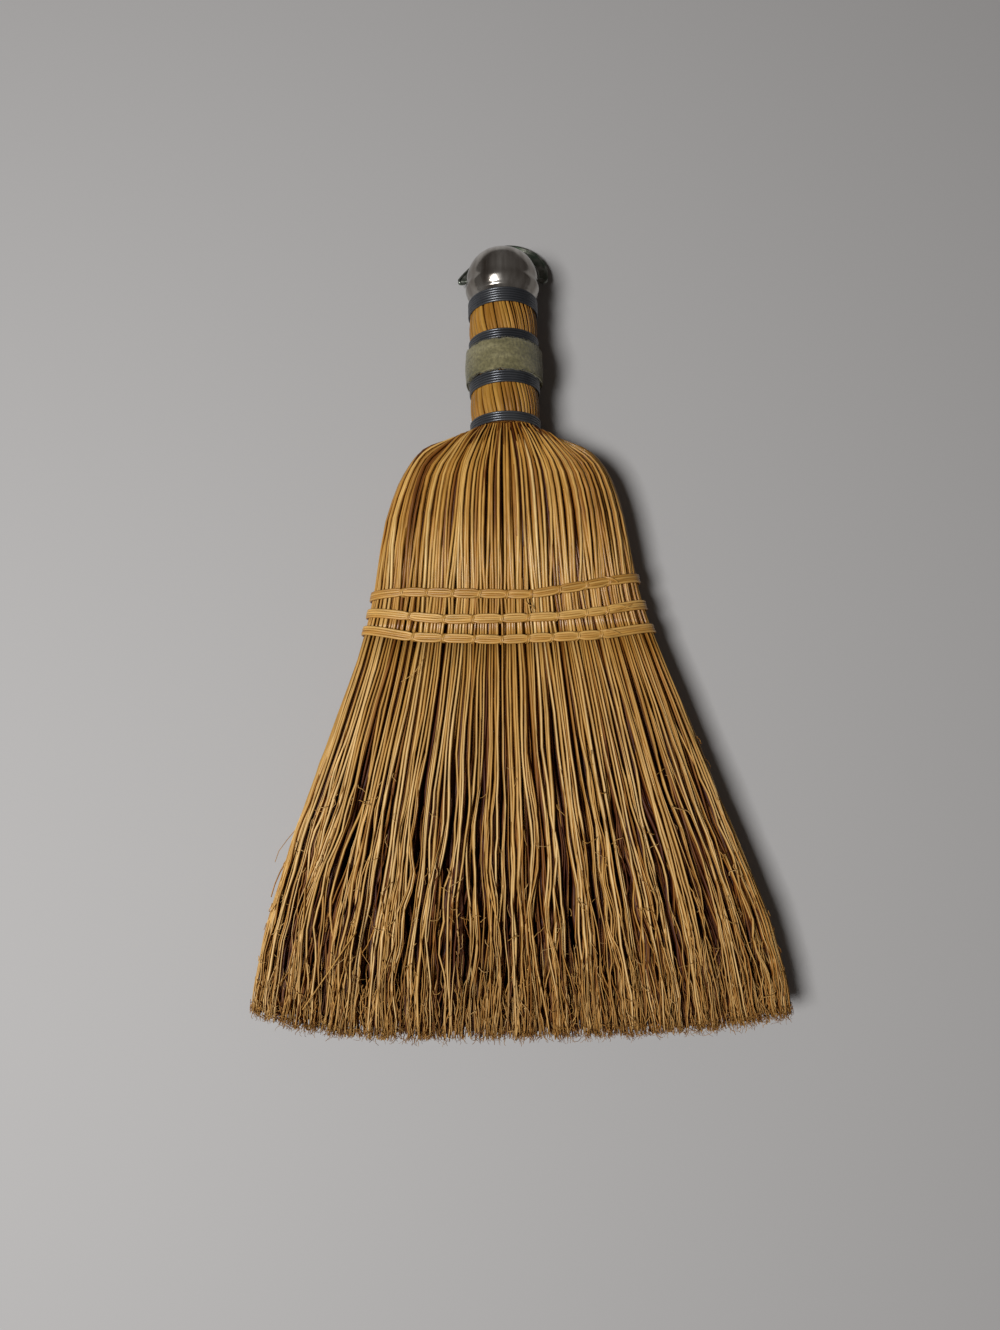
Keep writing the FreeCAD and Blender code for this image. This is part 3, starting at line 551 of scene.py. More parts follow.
SEWN = 150.0
UPPER_REACHES = np.array([248, 245, 243.6, 242.4, 241.3, 240, 238.4, 236.4, 234, 231, 227, 222, 215, 206,
                          194, 184, 177.5, 172, 167, 161.5])
LOWER_STEPS = np.concatenate((np.linspace(0, 0.4, 5), np.linspace(0.4, 1, 16)[1:]))
SIDES = {"front": (-0.53, 0.53), "back": (0.47, 1.53)}
ALL_ROUND = (-1, 1)
STRAWS_PER_TUFT = 6
GROOVE_REACHES, GROOVE_STRENGTHS = (-12, 84, 148, 178, 208, 238), (1, 1, 0, 0, 0.25, 0)
TIE_GAP_WIDTH, TIE_GAP_LENGTH, TIE_GAP_SHIFT = 1.3, 5, 0.62

# Where something sets in along the broom: its start, and its length up or down from there
LOOSE, LOWERED, PAINTED_SHADE_SHIFT = (SEWN, -95), (SEWN, -60), (SEWN, -70)
ARCHED, DIPPED, SUNK, BURIED = (176, 67), (238, -30), (184, 20), (226, 18)
SHADED, KINKED = (188, 16), (110, -60)

# How the straws wander: the size of each wave and its length
LONG_WAVE, SHORT_WAVE = (0.9, 12), (0.42, 4.8)
UPPER_DIP, LOWER_DIP = (0.35, 21), (0.9, 17)
BOW, SWAY, UNDER_SINK = 0.85, 0.75, 1.2

# Thickness along a straw, as shares of its full thickness
UPPER_TAPER = (150, 182, 205, 222, 235, 243, 250), (0.98, 0.98, 1.18, 1.15, 0.8, 0.55, 0.45)
LOWER_TAPER = (0, 25, 80, 150), (0.5, 0.74, 0.88, 0.98)
SHORT_TAPER = (0.8, 1), (1, 0.3)
KNOT_SHARE, KNOTS_BELOW, KNOT_SWELL = 0.08, 120, 0.35
KINK = 0.13

# Shades of the odd straws, of the painted highlight belt above the sewing and of the painted shade on the
# under straws between
DARK_BELOW, DARKER = 0.14, 0.25
PALE_ABOVE, PALER = 0.88, 0.22
PAINTED_GLOSS_AT, PAINTED_GLOSS_LENGTH, PAINTED_GLOSS = 188, 12, 0.13
UNDER_SHADE = 0.3

# Ends: how ragged the tips are, and by how much some straws and branches fall short of them
RAGGED, FINE_RAGGED = 1.6, 1.3
SHORT_SHARE = 0.3
STRAW_SHORT, BRANCH_SHORT = (4, 55), (4, 45)


def tip_line(around):
    """How far the trimmed tips stand back towards the corners."""
    x = on_broom(around, 0.0, 0.0)[:, 0]
    return np.where(x < 0, LEFT_CORNER_LIFT, RIGHT_CORNER_LIFT) * np.abs(x / CORNER_WIDTH) ** 4


def tip_ends(around, ragged):
    """Where the trimmed tips end, a little ragged."""
    return tip_line(around) + np.abs(rng.normal(0, ragged, len(around))) - 0.5


def groove_lines():
    """Where the tufts part around the broom, at each reach, on the front and the back."""
    lines = []
    for share in TUFT_GROOVES:
        width = LEFT if share < 0 else RIGHT
        place = np.array([np.interp(share * width[i], ACROSS[i, FRONT], AROUND[FRONT])
                          for i in range(len(REACHES))])
        lines += [place, np.sign(share) - place]
    return lines


GROOVE_LINES = groove_lines()


def parting(around, reach):
    """The tufts part at the grooves: a sideways shift, and how far a straw in the groove sinks."""
    strength = np.interp(reach, GROOVE_REACHES, GROOVE_STRENGTHS)
    place = (around + 1) % 2 - 1
    girth = girth_at(reach)
    shift, sink = np.zeros(place.shape), np.zeros(place.shape)
    for line in GROOVE_LINES:
        off = (place - np.interp(reach, REACHES, line)) * girth / GROOVE_HALF_WIDTH
        shift += off * np.exp(0.5 - off ** 2 / 2)
        sink += np.exp(-off ** 2)
    return GROOVE_SHIFT * strength * shift / girth, GROOVE_DEPTH * strength * sink


def row_reach(row, x):
    """The reach of a row of twine, in an easy curve through its places."""
    xs, ss = np.array(row["run"]).T
    fine = np.linspace(xs[0], xs[-1], 200)
    return np.interp(x, fine, smoothed(np.interp(fine, xs, ss), 21))


def tie_gaps(around, reach):
    """The ties press the straws apart, most at the stitch and less further from it."""
    place = (around + 1) % 2 - 1
    girth = girth_at(reach)
    shift = np.zeros(np.broadcast(around, reach).shape)
    for row in STITCH_ROWS.values():
        xs, ss = np.array(row["run"]).T
        for x in row["ties"]:
            s = np.interp(x, xs, ss)
            for back in (False, True):
                off = (place - around_at(x, s, back)) * girth / TIE_GAP_WIDTH
                fade = np.exp(-np.abs(reach - s) / TIE_GAP_LENGTH)
                shift += TIE_GAP_SHIFT * off * np.exp(0.5 - off ** 2 / 2) * fade
    return shift / girth


def draw_lines(count, span, inset, radius, low, parts):
    """The straws of one layer: where each one starts, how thick it is and how it wanders."""
    first, last = span
    tuft = np.arange(count) // STRAWS_PER_TUFT
    swing = rng.normal(0, 1, (3, count))
    swing[0] = swing[0, tuft]
    phase = rng.uniform(0, 7, (4, count))
    phase[0] = phase[0, tuft] + rng.normal(0, 0.25, count)
    return {
        "start": first + (last - first) * (np.arange(count) + rng.uniform(0.2, 0.8, count)) / count,
        "thick": rng.uniform(*radius, count),
        "lie": rng.uniform(*inset, count),
        "bury": rng.uniform(1.5, 5, count),
        "low": rng.uniform(0.5, 1, count) * low,
        "parts": np.full(count, parts),
        "under": np.arange(count) % 2.0,
        "bow": rng.normal(0, 1, count),
        "sway": rng.normal(0, 1, count),
        "swing": swing,
        "pace": rng.uniform(0.75, 1.35, count),
        "phase": phase,
    }


def rise(reach, stretch):
    """0 before a stretch of the broom, 1 after it, rising evenly along it."""
    start, length = stretch
    return np.clip((reach - start) / length, 0, 1)


def wave(shape, run, phase):
    size, length = shape
    return size * np.sin(run / length + phase)


def follow(lines, reach):
    """Place around the broom and depth under its surface of a layer's straws, at each reach."""
    own = {key: value[..., None] for key, value in lines.items()}
    loose = rise(reach, LOOSE)
    arch = np.sin(rise(reach, ARCHED) * math.pi)
    swing, phase, own_run = own["swing"], own["phase"], reach * own["pace"]
    sideways = swing[0] * wave(LONG_WAVE, reach, phase[0]) + swing[1] * wave(SHORT_WAVE, own_run, phase[1])
    drift = BOW * own["bow"] * arch + loose * (SWAY * own["sway"] + sideways)
    around = own["start"] + drift / girth_at(reach)
    shift, sink = parting(around, reach)
    around = around + own["parts"] * shift + tie_gaps(around, reach)
    dip = wave(UPPER_DIP, reach, phase[2]) * rise(reach, DIPPED)
    dip = dip + loose * swing[2] * wave(LOWER_DIP, own_run, phase[3])
    inset = np.maximum(own["lie"] + sink + dip, 0.0) + own["low"] * rise(reach, LOWERED)
    inset = inset + UNDER_SINK * own["under"] * rise(reach, SUNK)
    inset = inset + (own["bury"] - inset) * rise(reach, BURIED) ** 1.5
    return around, inset


def straw_paths(lines, reach):
    around, inset = follow(lines, reach)
    thick = lines["thick"][:, None]
    return above_floor(on_broom(around, reach, inset + thick + 0.3), thick)


def draw_tints(tints, count):
    """Mostly even shades, with a few darker and a few paler straws among them."""
    shade = rng.uniform(*tints, count)
    odd = rng.random(count)
    shade = np.where(odd < DARK_BELOW, shade - DARKER, shade)
    return np.where(odd > PALE_ABOVE, shade + PALER, shade)


def lay_layer(name, count, span, inset, radius, tints, low=0.0, fade=0.0, sides=5, parts=0.0, nodes=()):
    """A layer of straw in two pieces: from the neck to the sewing, and from there to the tips."""
    lines = draw_lines(count, span, inset, radius, low, parts)
    shades = draw_tints(tints, count)[:, None]
    own = draw_grain(count)
    thick, under = lines["thick"][:, None], lines["under"][:, None]
    x = on_broom(lines["start"], SEWN, 0.0)[:, 0]
    sewn_at = row_reach(STITCH_ROWS["bottom"], x)[:, None]
    reach = np.concatenate((np.broadcast_to(UPPER_REACHES, (count, len(UPPER_REACHES))), sewn_at), 1)
    radii = thick * np.interp(reach, *UPPER_TAPER)
    # A belt above the sewing is lightened as a painted highlight, and the under straws are darkened from
    # there up to the neck as painted shade.
    shades_with_painted_light = shades + PAINTED_GLOSS * np.exp(-((reach - PAINTED_GLOSS_AT) / PAINTED_GLOSS_LENGTH) ** 2)
    shades_with_painted_light = shades_with_painted_light - UNDER_SHADE * under * rise(reach, SHADED)
    rod = model_rod(sides, len(UPPER_REACHES))
    upper = lay_rods(name, rod, straw_paths(lines, reach), radii, shades_with_painted_light, grain=(own, reach))
    settle(upper, straw, nodes)

    end = tip_ends(lines["start"], RAGGED)
    stops_short = rng.random(count) < SHORT_SHARE
    end = np.where(stops_short, end + rng.uniform(*STRAW_SHORT, count), end)[:, None]
    reach = sewn_at + (end - sewn_at) * LOWER_STEPS
    thick = thick * np.where(stops_short[:, None], np.interp(LOWER_STEPS, *SHORT_TAPER), 1)
    knots = (rng.random(reach.shape) < KNOT_SHARE) & (reach < KNOTS_BELOW)
    radii = thick * np.interp(reach, *LOWER_TAPER) * (1 + KNOT_SWELL * knots)
    # Below the sewing the shades shift towards the tips: painted light on the outer straws (negative fade),
    # painted shade on the under and core straws.
    shades = shades - fade * rise(reach, PAINTED_SHADE_SHIFT)
    paths = straw_paths(lines, reach)
    paths[..., 0] += rng.normal(0, KINK, reach.shape) * rise(reach, KINKED)
    rod = model_rod(min(sides, 4), len(LOWER_STEPS) - 1)
    lower = lay_rods(name + "_brush", rod, paths, radii, shades, grain=(own, reach))
    settle(lower, brush)
    return lines


# The deeper layers get darker shades as painted shade of the gaps between the outer straws, and their fade
# darkens them further towards the tips.
OUTER = dict(inset=(0, 0.9), radius=(0.48, 0.8), tints=(0.42, 0.8), fade=-0.3, parts=1.0)
SECOND = dict(inset=(0.9, 1.9), radius=(0.5, 0.8), tints=(0.16, 0.5), low=2.4, fade=0.3, sides=4, parts=0.2)
CORE = dict(inset=(2.9, 5.4), radius=(0.9, 1.5), tints=(0.1, 0.4), low=1.5, fade=0.4, sides=4)
INNER = dict(inset=(7.0, 11.5), radius=(1.3, 1.9), tints=(0.0, 0.25), fade=0.4, sides=4)
layers = {}
for side, span in SIDES.items():
    layers[side] = lay_layer(side + "_straw", 104, span, nodes=[side + "_hurl"], **OUTER)
    layers[side + "_under"] = lay_layer(side + "_under", 108, span, **SECOND)
bundles = ["core_bundle", "left_shoulder_bundle", "right_shoulder_bundle"]
layers["core"] = lay_layer("core_straw", 150, ALL_ROUND, nodes=bundles, **CORE)
lay_layer("core_inner", 100, ALL_ROUND, **INNER)


# Branches fork off the straws below the sewing, and fine bristles fill the tips

BRANCH_RINGS, BRISTLE_RINGS, WISP_RINGS, STRAY_RINGS = 18, 9, 6, 9
LEAST_BRANCH = 18
BRANCH_TAPER = (0, 0.14, 0.6, 0.9, 1), (0.12, 1, 0.9, 0.7, 0.4)
BRANCH_ROOT = (0, 0.14), (0.7, 0)
BRISTLE_TAPER = (0, 0.2, 0.6, 1), (0.12, 1, 0.95, 0.65)
LOWEST_WISP = -2.5


def draw_curl(reach, size, lengths):
    """A wave along each bristle, with its own height, length and start."""
    each = (len(reach), 1)
    height = rng.normal(0, size, each)
    return height * np.sin(reach / rng.uniform(*lengths, each) + rng.uniform(0, 7, each))


def settle_bristles(name, paths, radii, tints):
    count, rings = radii.shape
    rod = model_rod(3, rings - 1)
    settle(lay_rods(name, rod, above_floor(paths, radii), radii, draw_tints(tints, count)), bristle)


def lay_branches(name, lines, count, tops, radius, spread, tints):
    """Thin branches, each leaving one of the straws and drifting away from it on its way to the tips."""
    chosen = rng.integers(0, len(lines["start"]), count)
    mother = {key: value[..., chosen] for key, value in lines.items()}
    top = rng.uniform(*tops, count)
    end = tip_ends(mother["start"], RAGGED)
    end = np.where(rng.random(count) < SHORT_SHARE, end + rng.uniform(*BRANCH_SHORT, count), end)
    end = np.minimum(end, top - LEAST_BRANCH)
    step = np.linspace(0, 1, BRANCH_RINGS)
    reach = top[:, None] + (end - top)[:, None] * step
    around, inset = follow(mother, reach)
    loose = np.clip((130 - reach) / 100, 0.15, 1)
    kink = rng.normal(0, 0.12, (count, BRANCH_RINGS)) * loose
    curl = draw_curl(reach, 0.5, (4, 9)) * loose
    drift = rng.normal(0, spread, (count, 1)) * step ** 1.15 + kink + curl
    lift = rng.normal(-0.2, 0.9, (count, 1)) * step + rng.normal(0, 0.15, (count, BRANCH_RINGS)) * loose
    lift = lift + np.interp(step, *BRANCH_ROOT)
    radii = rng.uniform(*radius, (count, 1)) * np.interp(step, *BRANCH_TAPER)
    paths = on_broom(around + drift / girth_at(reach), reach, np.maximum(inset + lift, 0.1) + radii)
    settle_bristles(name, paths, radii, tints)


def lay_bristles(name, count, span, inset, tops, radius, tints):
    """Fine bristles that fill out the last stretch of the brush."""
    start = rng.uniform(*span, count)
    top = rng.uniform(*tops, count)
    end = tip_ends(start, FINE_RAGGED)
    step = np.linspace(0, 1, BRISTLE_RINGS)
    reach = top[:, None] + (end - top)[:, None] * step
    curl = draw_curl(reach, 0.9, (3, 8))
    drift = curl + rng.normal(0, 1.8, (count, 1)) * step + rng.normal(0, 0.14, (count, BRISTLE_RINGS))
    around = start[:, None] + drift / girth_at(reach)
    shift, sink = parting(around, reach)
    lie = rng.uniform(*inset, (count, 1)) + sink + rng.normal(0, 0.3, (count, BRISTLE_RINGS))
    radii = rng.uniform(*radius, (count, 1)) * np.interp(step, *BRISTLE_TAPER)
    paths = on_broom(around + shift, reach, np.maximum(lie, 0.1) + radii)
    settle_bristles(name, paths, radii, tints)


def lay_wisps(name, count, span, reaches, length, radius, stray, tints):
    """Short curled wisps that stand off the straw."""
    start = rng.uniform(*span, count)
    low, high = reaches
    foot = rng.triangular(low, low + 0.1 * (high - low), high, count)
    foot = (foot + tip_line(start))[:, None]
    leg = rng.uniform(*length, (count, 1)) / (WISP_RINGS - 1)
    aim = rng.normal(0, stray, (count, 1)) + np.cumsum(rng.normal(0, 0.38, (count, WISP_RINGS)), 1)
    reach = np.maximum(foot - np.cumsum(np.cos(aim) * leg, 1), LOWEST_WISP)
    drift = np.cumsum(np.sin(aim) * leg, 1)
    around = start[:, None] + drift / girth_at(reach)
    shift, sink = parting(around, reach)
    lift = np.cumsum(rng.normal(0, 0.45, (count, WISP_RINGS)), 1)
    radii = rng.uniform(*radius, (count, 1)) * np.linspace(1, 0.6, WISP_RINGS)
    inset = np.maximum(rng.uniform(-0.3, 0.8, (count, 1)) + 0.6 * sink + lift, -0.4)
    settle_bristles(name, on_broom(around + shift, reach, inset), radii, tints)


# The under and core branches and the core bristles get dark shades: painted shade in the gaps between the
# outer straws.
BRANCHES = dict(tops=(40, 138), radius=(0.32, 0.56), spread=2.8, tints=(0.55, 0.95))
UNDER_BRANCHES = dict(tops=(45, 130), radius=(0.36, 0.62), spread=3.0, tints=(0.0, 0.36))
CORE_BRANCHES = dict(tops=(40, 110), radius=(0.4, 0.7), spread=3.0, tints=(-0.1, 0.2))
BRISTLES = dict(inset=(0.2, 3.6), tops=(7, 36), radius=(0.2, 0.4), tints=(0.35, 1.0))
CORE_BRISTLES = dict(inset=(4.0, 15.0), tops=(8, 36), radius=(0.28, 0.55), tints=(-0.1, 0.28))
WISPS = dict(reaches=(4, 120), length=(2.5, 7), radius=(0.14, 0.26), stray=0.28, tints=(0.7, 1.0))
FUZZ = dict(reaches=(0.6, 6), length=(1.2, 3.2), radius=(0.08, 0.16), stray=0.4, tints=(0.25, 0.7))
for side in SIDES:
    lay_branches(side + "_branches", layers[side], 150, **BRANCHES)
    lay_branches(side + "_branches_under", layers[side + "_under"], 170, **UNDER_BRANCHES)
lay_branches("core_branches", layers["core"], 450, **CORE_BRANCHES)
for side, span in SIDES.items():
    lay_bristles(side + "_bristles", 700, span, **BRISTLES)
lay_bristles("core_bristles", 1700, ALL_ROUND, **CORE_BRISTLES)
for side, span in SIDES.items():
    lay_wisps(side + "_wisps", 220, span, **WISPS)
lay_wisps("tip_fuzz", 2200, ALL_ROUND, **FUZZ)

# Loose hairs and loose straws: radius, and points of across, reach and height
STRAYS = (
    (0.2, ((-84, 83.5, 3), (-87.7, 79.5, 2), (-91.7, 74.8, 2), (-94.9, 70.5, 2), (-96.4, 66.2, 2))),
    (0.34, ((-88.5, 71, 1), (-92.1, 66.8, 0), (-94.8, 62.1, 0), (-96.8, 57.4, 0), (-98.3, 52.3, 0))),
    (0.4, ((-62, 40, 13.6), (-65.7, 35, 15.2), (-71.8, 26.3, 15.5), (-77.5, 18.3, 15),
           (-82.3, 11.8, 14.2))),
    (0.2, ((-34.6, 147, 12.4), (-36.1, 143.9, 14), (-38.1, 140.7, 14.3), (-40.9, 138.3, 14.2),
           (-44.1, 136.4, 13.8))),
    (0.5, ((64, 122, 5), (68, 113, 5), (72, 104, 5), (75.4, 97, 4.6), (78.4, 91.5, 4))),
    (0.45, ((83, 66, 6), (88, 52, 6), (92.5, 39, 5.4), (96, 29, 5), (98.4, 23.5, 5))),
)


def lay_strays():
    paths = np.array([refined(points, STRAY_RINGS) for _, points in STRAYS])
    radii = np.array([radius for radius, _ in STRAYS])[:, None] * np.linspace(1, 0.65, STRAY_RINGS)
    shades = rng.uniform(0.6, 0.9, len(paths))
    return lay_rods("stray_straw", model_rod(4, STRAY_RINGS - 1), paths, radii, shades)


settle(lay_strays(), bristle)


# Handle stalks

STALK_REACHES = np.array([244.9, 246, 248.8, 250.5, 253, 256.5, 259.5, 262, 266, 273, 280, 285.2, 287, 290,
                          293, 296, 298, 303, 309])
STALK_RADIUS = np.array([13.5, 13.8, 14, 14.25, 14.5, 14.5, 14.3, 14, 14, 14, 14, 14, 14.3, 14.5,
                         14.5, 14.2, 14, 13.3, 13])
STALK_GIRTH_RADIUS = 14.3
STALK_SLANT, SLANT_MIDDLE, SLANT_LENGTH = -0.5, 270, 40


def lay_stalks(name, count, inset, thick, tints, gap):
    """Stalks side by side round the handle, flat side out: broad on the left, slim on the right."""
    share = (np.arange(count) + 0.5) / count * 2 * math.pi
    widths = rng.uniform(0.55, 1.45, count) * (1 - 0.42 * np.sin(share))
    edges = np.concatenate(([0], np.cumsum(widths))) / widths.sum() * 2 * math.pi
    middle = (edges[:-1] + edges[1:]) / 2
    half = (edges[1:] - edges[:-1]) / 2 * STALK_GIRTH_RADIUS
    slant = STALK_SLANT - 0.2 * np.sin(middle)[:, None] + rng.normal(0, 0.05, (count, 1))
    turn = middle[:, None] + slant * (STALK_REACHES - SLANT_MIDDLE) / SLANT_LENGTH
    depth = np.minimum(half * 0.7, thick)
    run = STALK_RADIUS - inset - depth[:, None] + rng.uniform(-0.1, 0.14, (count, 1)) + 0.2
    paths = round_handle(run, turn, STALK_REACHES)
    out = round_handle(1.0, turn, 0.0)
    radii = (half - gap - 0.06 * np.sin(middle))[:, None]
    rod = model_rod(8, len(STALK_REACHES) - 1)
    shades = rng.uniform(*tints, count)
    return lay_rods(name, rod, paths, radii, shades, hint=out, flat=depth / half, boxy=0.5)


settle(lay_stalks("handle_stalks", 52, 0.0, 0.75, (0.42, 0.95), 0.03), stalk)
settle(lay_stalks("handle_stalks_under", 40, 1.3, 1.2, (0.0, 0.35), -0.1), stalk)


# Wire bands

STEPS_PER_TURN = 72
WIRE_TUCK, WIRE_TUCK_TURN = 1.4, 0.5


def wind_band(name, foot, turns):
    """One wire wound side by side round the handle, not quite evenly, its ends tucked in."""
    steps = STEPS_PER_TURN * turns
    turn = np.linspace(0, 2 * math.pi * turns, steps + 1)
    reach = foot + WIRE_PITCH * turn / (2 * math.pi) + 0.03 * np.sin(turn * 0.83 + foot)
    tuck = np.clip(np.minimum(turn, turn[-1] - turn) / WIRE_TUCK_TURN, 0, 1)
    run = WIRE_RUN_RADIUS + 0.025 * np.sin(turn * 0.37 + foot) - WIRE_TUCK * (1 - tuck) ** 2
    path = round_handle(run, turn + math.pi, reach)
    return lay_rods(name, model_rod(12, steps), path[None], WIRE_RADIUS, [0.5], hint=(0, 1, 0))


for band, (foot, turns) in WIRE_BANDS.items():
    settle(wind_band("wire_" + band, foot, turns), wire, ["wire_band_" + band])


# Sewing

WRAP_STEPS, TIE_STEPS = 240, 12
PINCH_WIDTH, PINCH = 1.5, 0.42
WRAP_LIFT = 0.3


def sew_wrap(name, row):
    """The row's strands of twine round the head, drawn together and down at each tie."""
    around = np.linspace(-1, 1, WRAP_STEPS + 1)
    middle = np.mean([s for _, s in row["run"]])
    x = on_broom(around, middle, 0.0)[:, 0]
    pinch = np.clip(sum(np.exp(-((x - tie) / PINCH_WIDTH) ** 2) for tie in row["ties"]), 0, 1)
    paths, tints = [], []
    for strand in range(TWINE_STRANDS):
        shift = (strand - (TWINE_STRANDS - 1) / 2) * TWINE_PITCH
        drift = 0.08 * np.sin(around * rng.uniform(9, 16) + rng.uniform(0, 7))
        reach = row_reach(row, x) + shift * (1 - PINCH * pinch) + drift * (1 - pinch)
        inset = -WRAP_LIFT + WRAP_LIFT * pinch + 0.05 * np.sin(around * 23 + strand * 2)
        paths.append(on_broom(around, reach, inset))
        tints.append(rng.uniform(0.3, 0.95))
    return lay_rods(name, model_rod(8, WRAP_STEPS), np.array(paths), TWINE_RADIUS, tints)


# A tie's path over the strands: share of its slant, distance along the broom, depth under the surface
TIE_LINE = ((1.0, 1.75, 2.2), (0.9, 1.6, 0.6), (0.55, 1.0, -0.35), (0.0, 0.0, -0.6), (-0.55, -0.95, -0.35),
            (-0.9, -1.5, 0.6), (-1.0, -1.6, 2.2))
TIE_RADIUS = 0.4
TIE_SLANT = 0.5
TIE_STRANDS = (-0.34, 0.34)


def sew_ties(name, row):
    """Lock stitches that come out above the strands, cross them and go back in, on both faces."""
    paths = []
    for x in row["ties"]:
        s = row_reach(row, x)
        girth = girth_at(s)
        for back in (False, True):
            place = around_at(x, s, back)
            slant = rng.uniform(0.4, 1.3) * TIE_SLANT / girth
            for offset in TIE_STRANDS:
                points = [(place + slant * dx + offset / girth, s + ds, inset) for dx, ds, inset in TIE_LINE]
                paths.append(refined(on_broom(*np.array(points).T), TIE_STEPS + 1))
    shades = rng.uniform(0.5, 0.9, len(paths))
    return lay_rods(name, model_rod(6, TIE_STEPS), np.array(paths), TIE_RADIUS, shades)


for row_name, row in STITCH_ROWS.items():
    settle(sew_wrap("twine_wrap_" + row_name, row), twine, ["stitch_wrap_" + row_name])
    settle(sew_ties("twine_ties_" + row_name, row), twine, ["stitch_ties_" + row_name])

# Strands that cross over where a row ends on the right, and two loose ends of thread below the top row:
# radius, and points of across, reach and depth under the surface
TWINE_ENDS = (
    (0.45, ((38.5, 165.6, 0.3), (41.5, 166.4, -0.7), (45, 166.3, -0.95), (48.5, 165.6, -0.8),
            (52, 165.4, 0.3))),
    (0.45, ((39, 163.6, 0.3), (42, 164.2, -0.7), (45.5, 165.6, -0.95), (49, 167.2, -0.8),
            (52.5, 168.2, 0.3))),
    (0.44, ((36, 155.8, 0.4), (38.4, 156.2, -0.7), (41, 155.6, -0.95), (43.6, 154.6, -0.8),
            (46, 154.2, 0.4))),
    (0.44, ((39.2, 178.2, 0.5), (40.4, 177.8, -0.7), (42, 177, -0.95), (43.6, 176, -0.7),
            (44.8, 175.4, 0.5))),
    (0.17, ((6.6, 170, 0.8), (6.3, 168.2, -0.4), (7.2, 166.8, -0.8), (8.8, 166.2, -0.8), (9.9, 165, -0.2))),
    (0.17, ((8.8, 169.8, 0.8), (8.4, 168, -0.4), (8.9, 166.4, -0.7), (8.4, 164.8, -0.7),
            (9.2, 163.4, -0.2))),
)


def sew_ends():
    paths = []
    for _, points in TWINE_ENDS:
        points = [(around_at(x, s), s, inset) for x, s, inset in points]
        path = refined(on_broom(*np.array(points).T), TIE_STEPS + 1)
        path[1:-1] = (path[:-2] + 2 * path[1:-1] + path[2:]) / 4
        paths.append(path)
    radii = np.array([radius for radius, _ in TWINE_ENDS])[:, None]
    shades = rng.uniform(0.55, 0.95, len(paths))
    return lay_rods("twine_ends", model_rod(6, TIE_STEPS), np.array(paths), radii, shades)


settle(sew_ends(), twine)


# Plush strip round the grip

def modify(piece, kind, **settings):
    modifier = piece.modifiers.new("change", kind)
    for key, value in settings.items():
        setattr(modifier, key, value)
    bpy.ops.object.modifier_apply(modifier="change")


PLUSH_TURN = 358
PLUSH_SWELL = 0.3
PLUSH_ROUNDING = 0.6
PILE_COUNT = 6000


def wrap_plush():
    """A flat strip of plush, wrapped round the handle with its seam at the back."""
    width = PLUSH_REACH[1] - PLUSH_REACH[0]
    mid_radius = PLUSH_INNER + PLUSH_THICK / 2
    length = 2 * math.pi * mid_radius * PLUSH_TURN / 360
    deselect()
    bpy.ops.mesh.primitive_grid_add(x_subdivisions=180, y_subdivisions=20, size=1)
    strip = bpy.context.object
    strip.name = "plush_strip"
    along, up, _ = np.array([v.co[:] for v in strip.data.vertices]).T
    turn = along * length / mid_radius
    edge = np.clip(np.abs(up) * 2 - 0.8, 0, 1) / 0.2
    ragged = 0.35 * edge * np.sign(up) * np.sin(turn * 5.3 + 2) * np.sin(turn * 13.7)
    reach = (up + 0.5) * width + PLUSH_REACH[0] + ragged
    swell = PLUSH_SWELL * np.cos(up * math.pi) + 0.14 * np.sin(turn * 7 + 3 * up) * np.cos(up * 4)
    wrapped = round_handle(mid_radius + swell, turn, reach)
    strip.data.vertices.foreach_set("co", to_frame(wrapped).ravel())
    modify(strip, "SOLIDIFY", thickness=PLUSH_THICK * MM, offset=0)
    modify(strip, "BEVEL", width=PLUSH_ROUNDING * MM, segments=3)
    bpy.ops.object.shade_smooth()
    return strip, width * MM, length * MM


def lay_pile(count):
    """The pile of the plush: fine short hairs brushed round the grip, ragged at both edges."""
    turn = rng.uniform(-3.1, 3.1, count)[:, None]
    low, high = PLUSH_REACH
    near_edge = rng.random(count) < 0.5
    at_edge = rng.choice((0.0, 1.0), count) + rng.normal(0, 0.03, count)
    place = np.where(near_edge, at_edge, rng.uniform(0, 1, count))
    reach = (low + (high - low) * np.clip(place, -0.02, 1.02))[:, None]
    step = np.linspace(0, 1, 3)
    aim = rng.normal(0, 0.9, (count, 1))
    long = rng.uniform(0.4, 0.9, (count, 1))
    turn = turn + long * np.cos(aim) * step / 16
    reach = reach + long * np.sin(aim) * step
    crown = PLUSH_SWELL * np.cos((reach - (low + high) / 2) / (high - low) * math.pi)
    run = PLUSH_INNER + PLUSH_THICK + crown - 0.3 + rng.uniform(0.05, 0.35, (count, 1)) * step ** 0.7
    radii = rng.uniform(0.03, 0.055, (count, 1)) * np.array([1, 0.9, 0.5])
    shades = rng.uniform(0, 1, count)
    return lay_rods("plush_pile", model_rod(3, 2), round_handle(run, turn, reach), radii, shades)


plush_strip, plush_width, plush_length = wrap_plush()
plush_pile = lay_pile(PILE_COUNT)
settle(plush_strip, plush, ["plush_sleeve"])
settle(plush_pile, plush)


# Cap and hanging ring

def turn_faces_out(merge=False):
    go_to("EDIT")
    bpy.ops.mesh.select_all(action="SELECT")
    if merge:
        bpy.ops.mesh.remove_doubles(threshold=1e-5)
    bpy.ops.mesh.normals_make_consistent(inside=False)
    go_to("OBJECT")


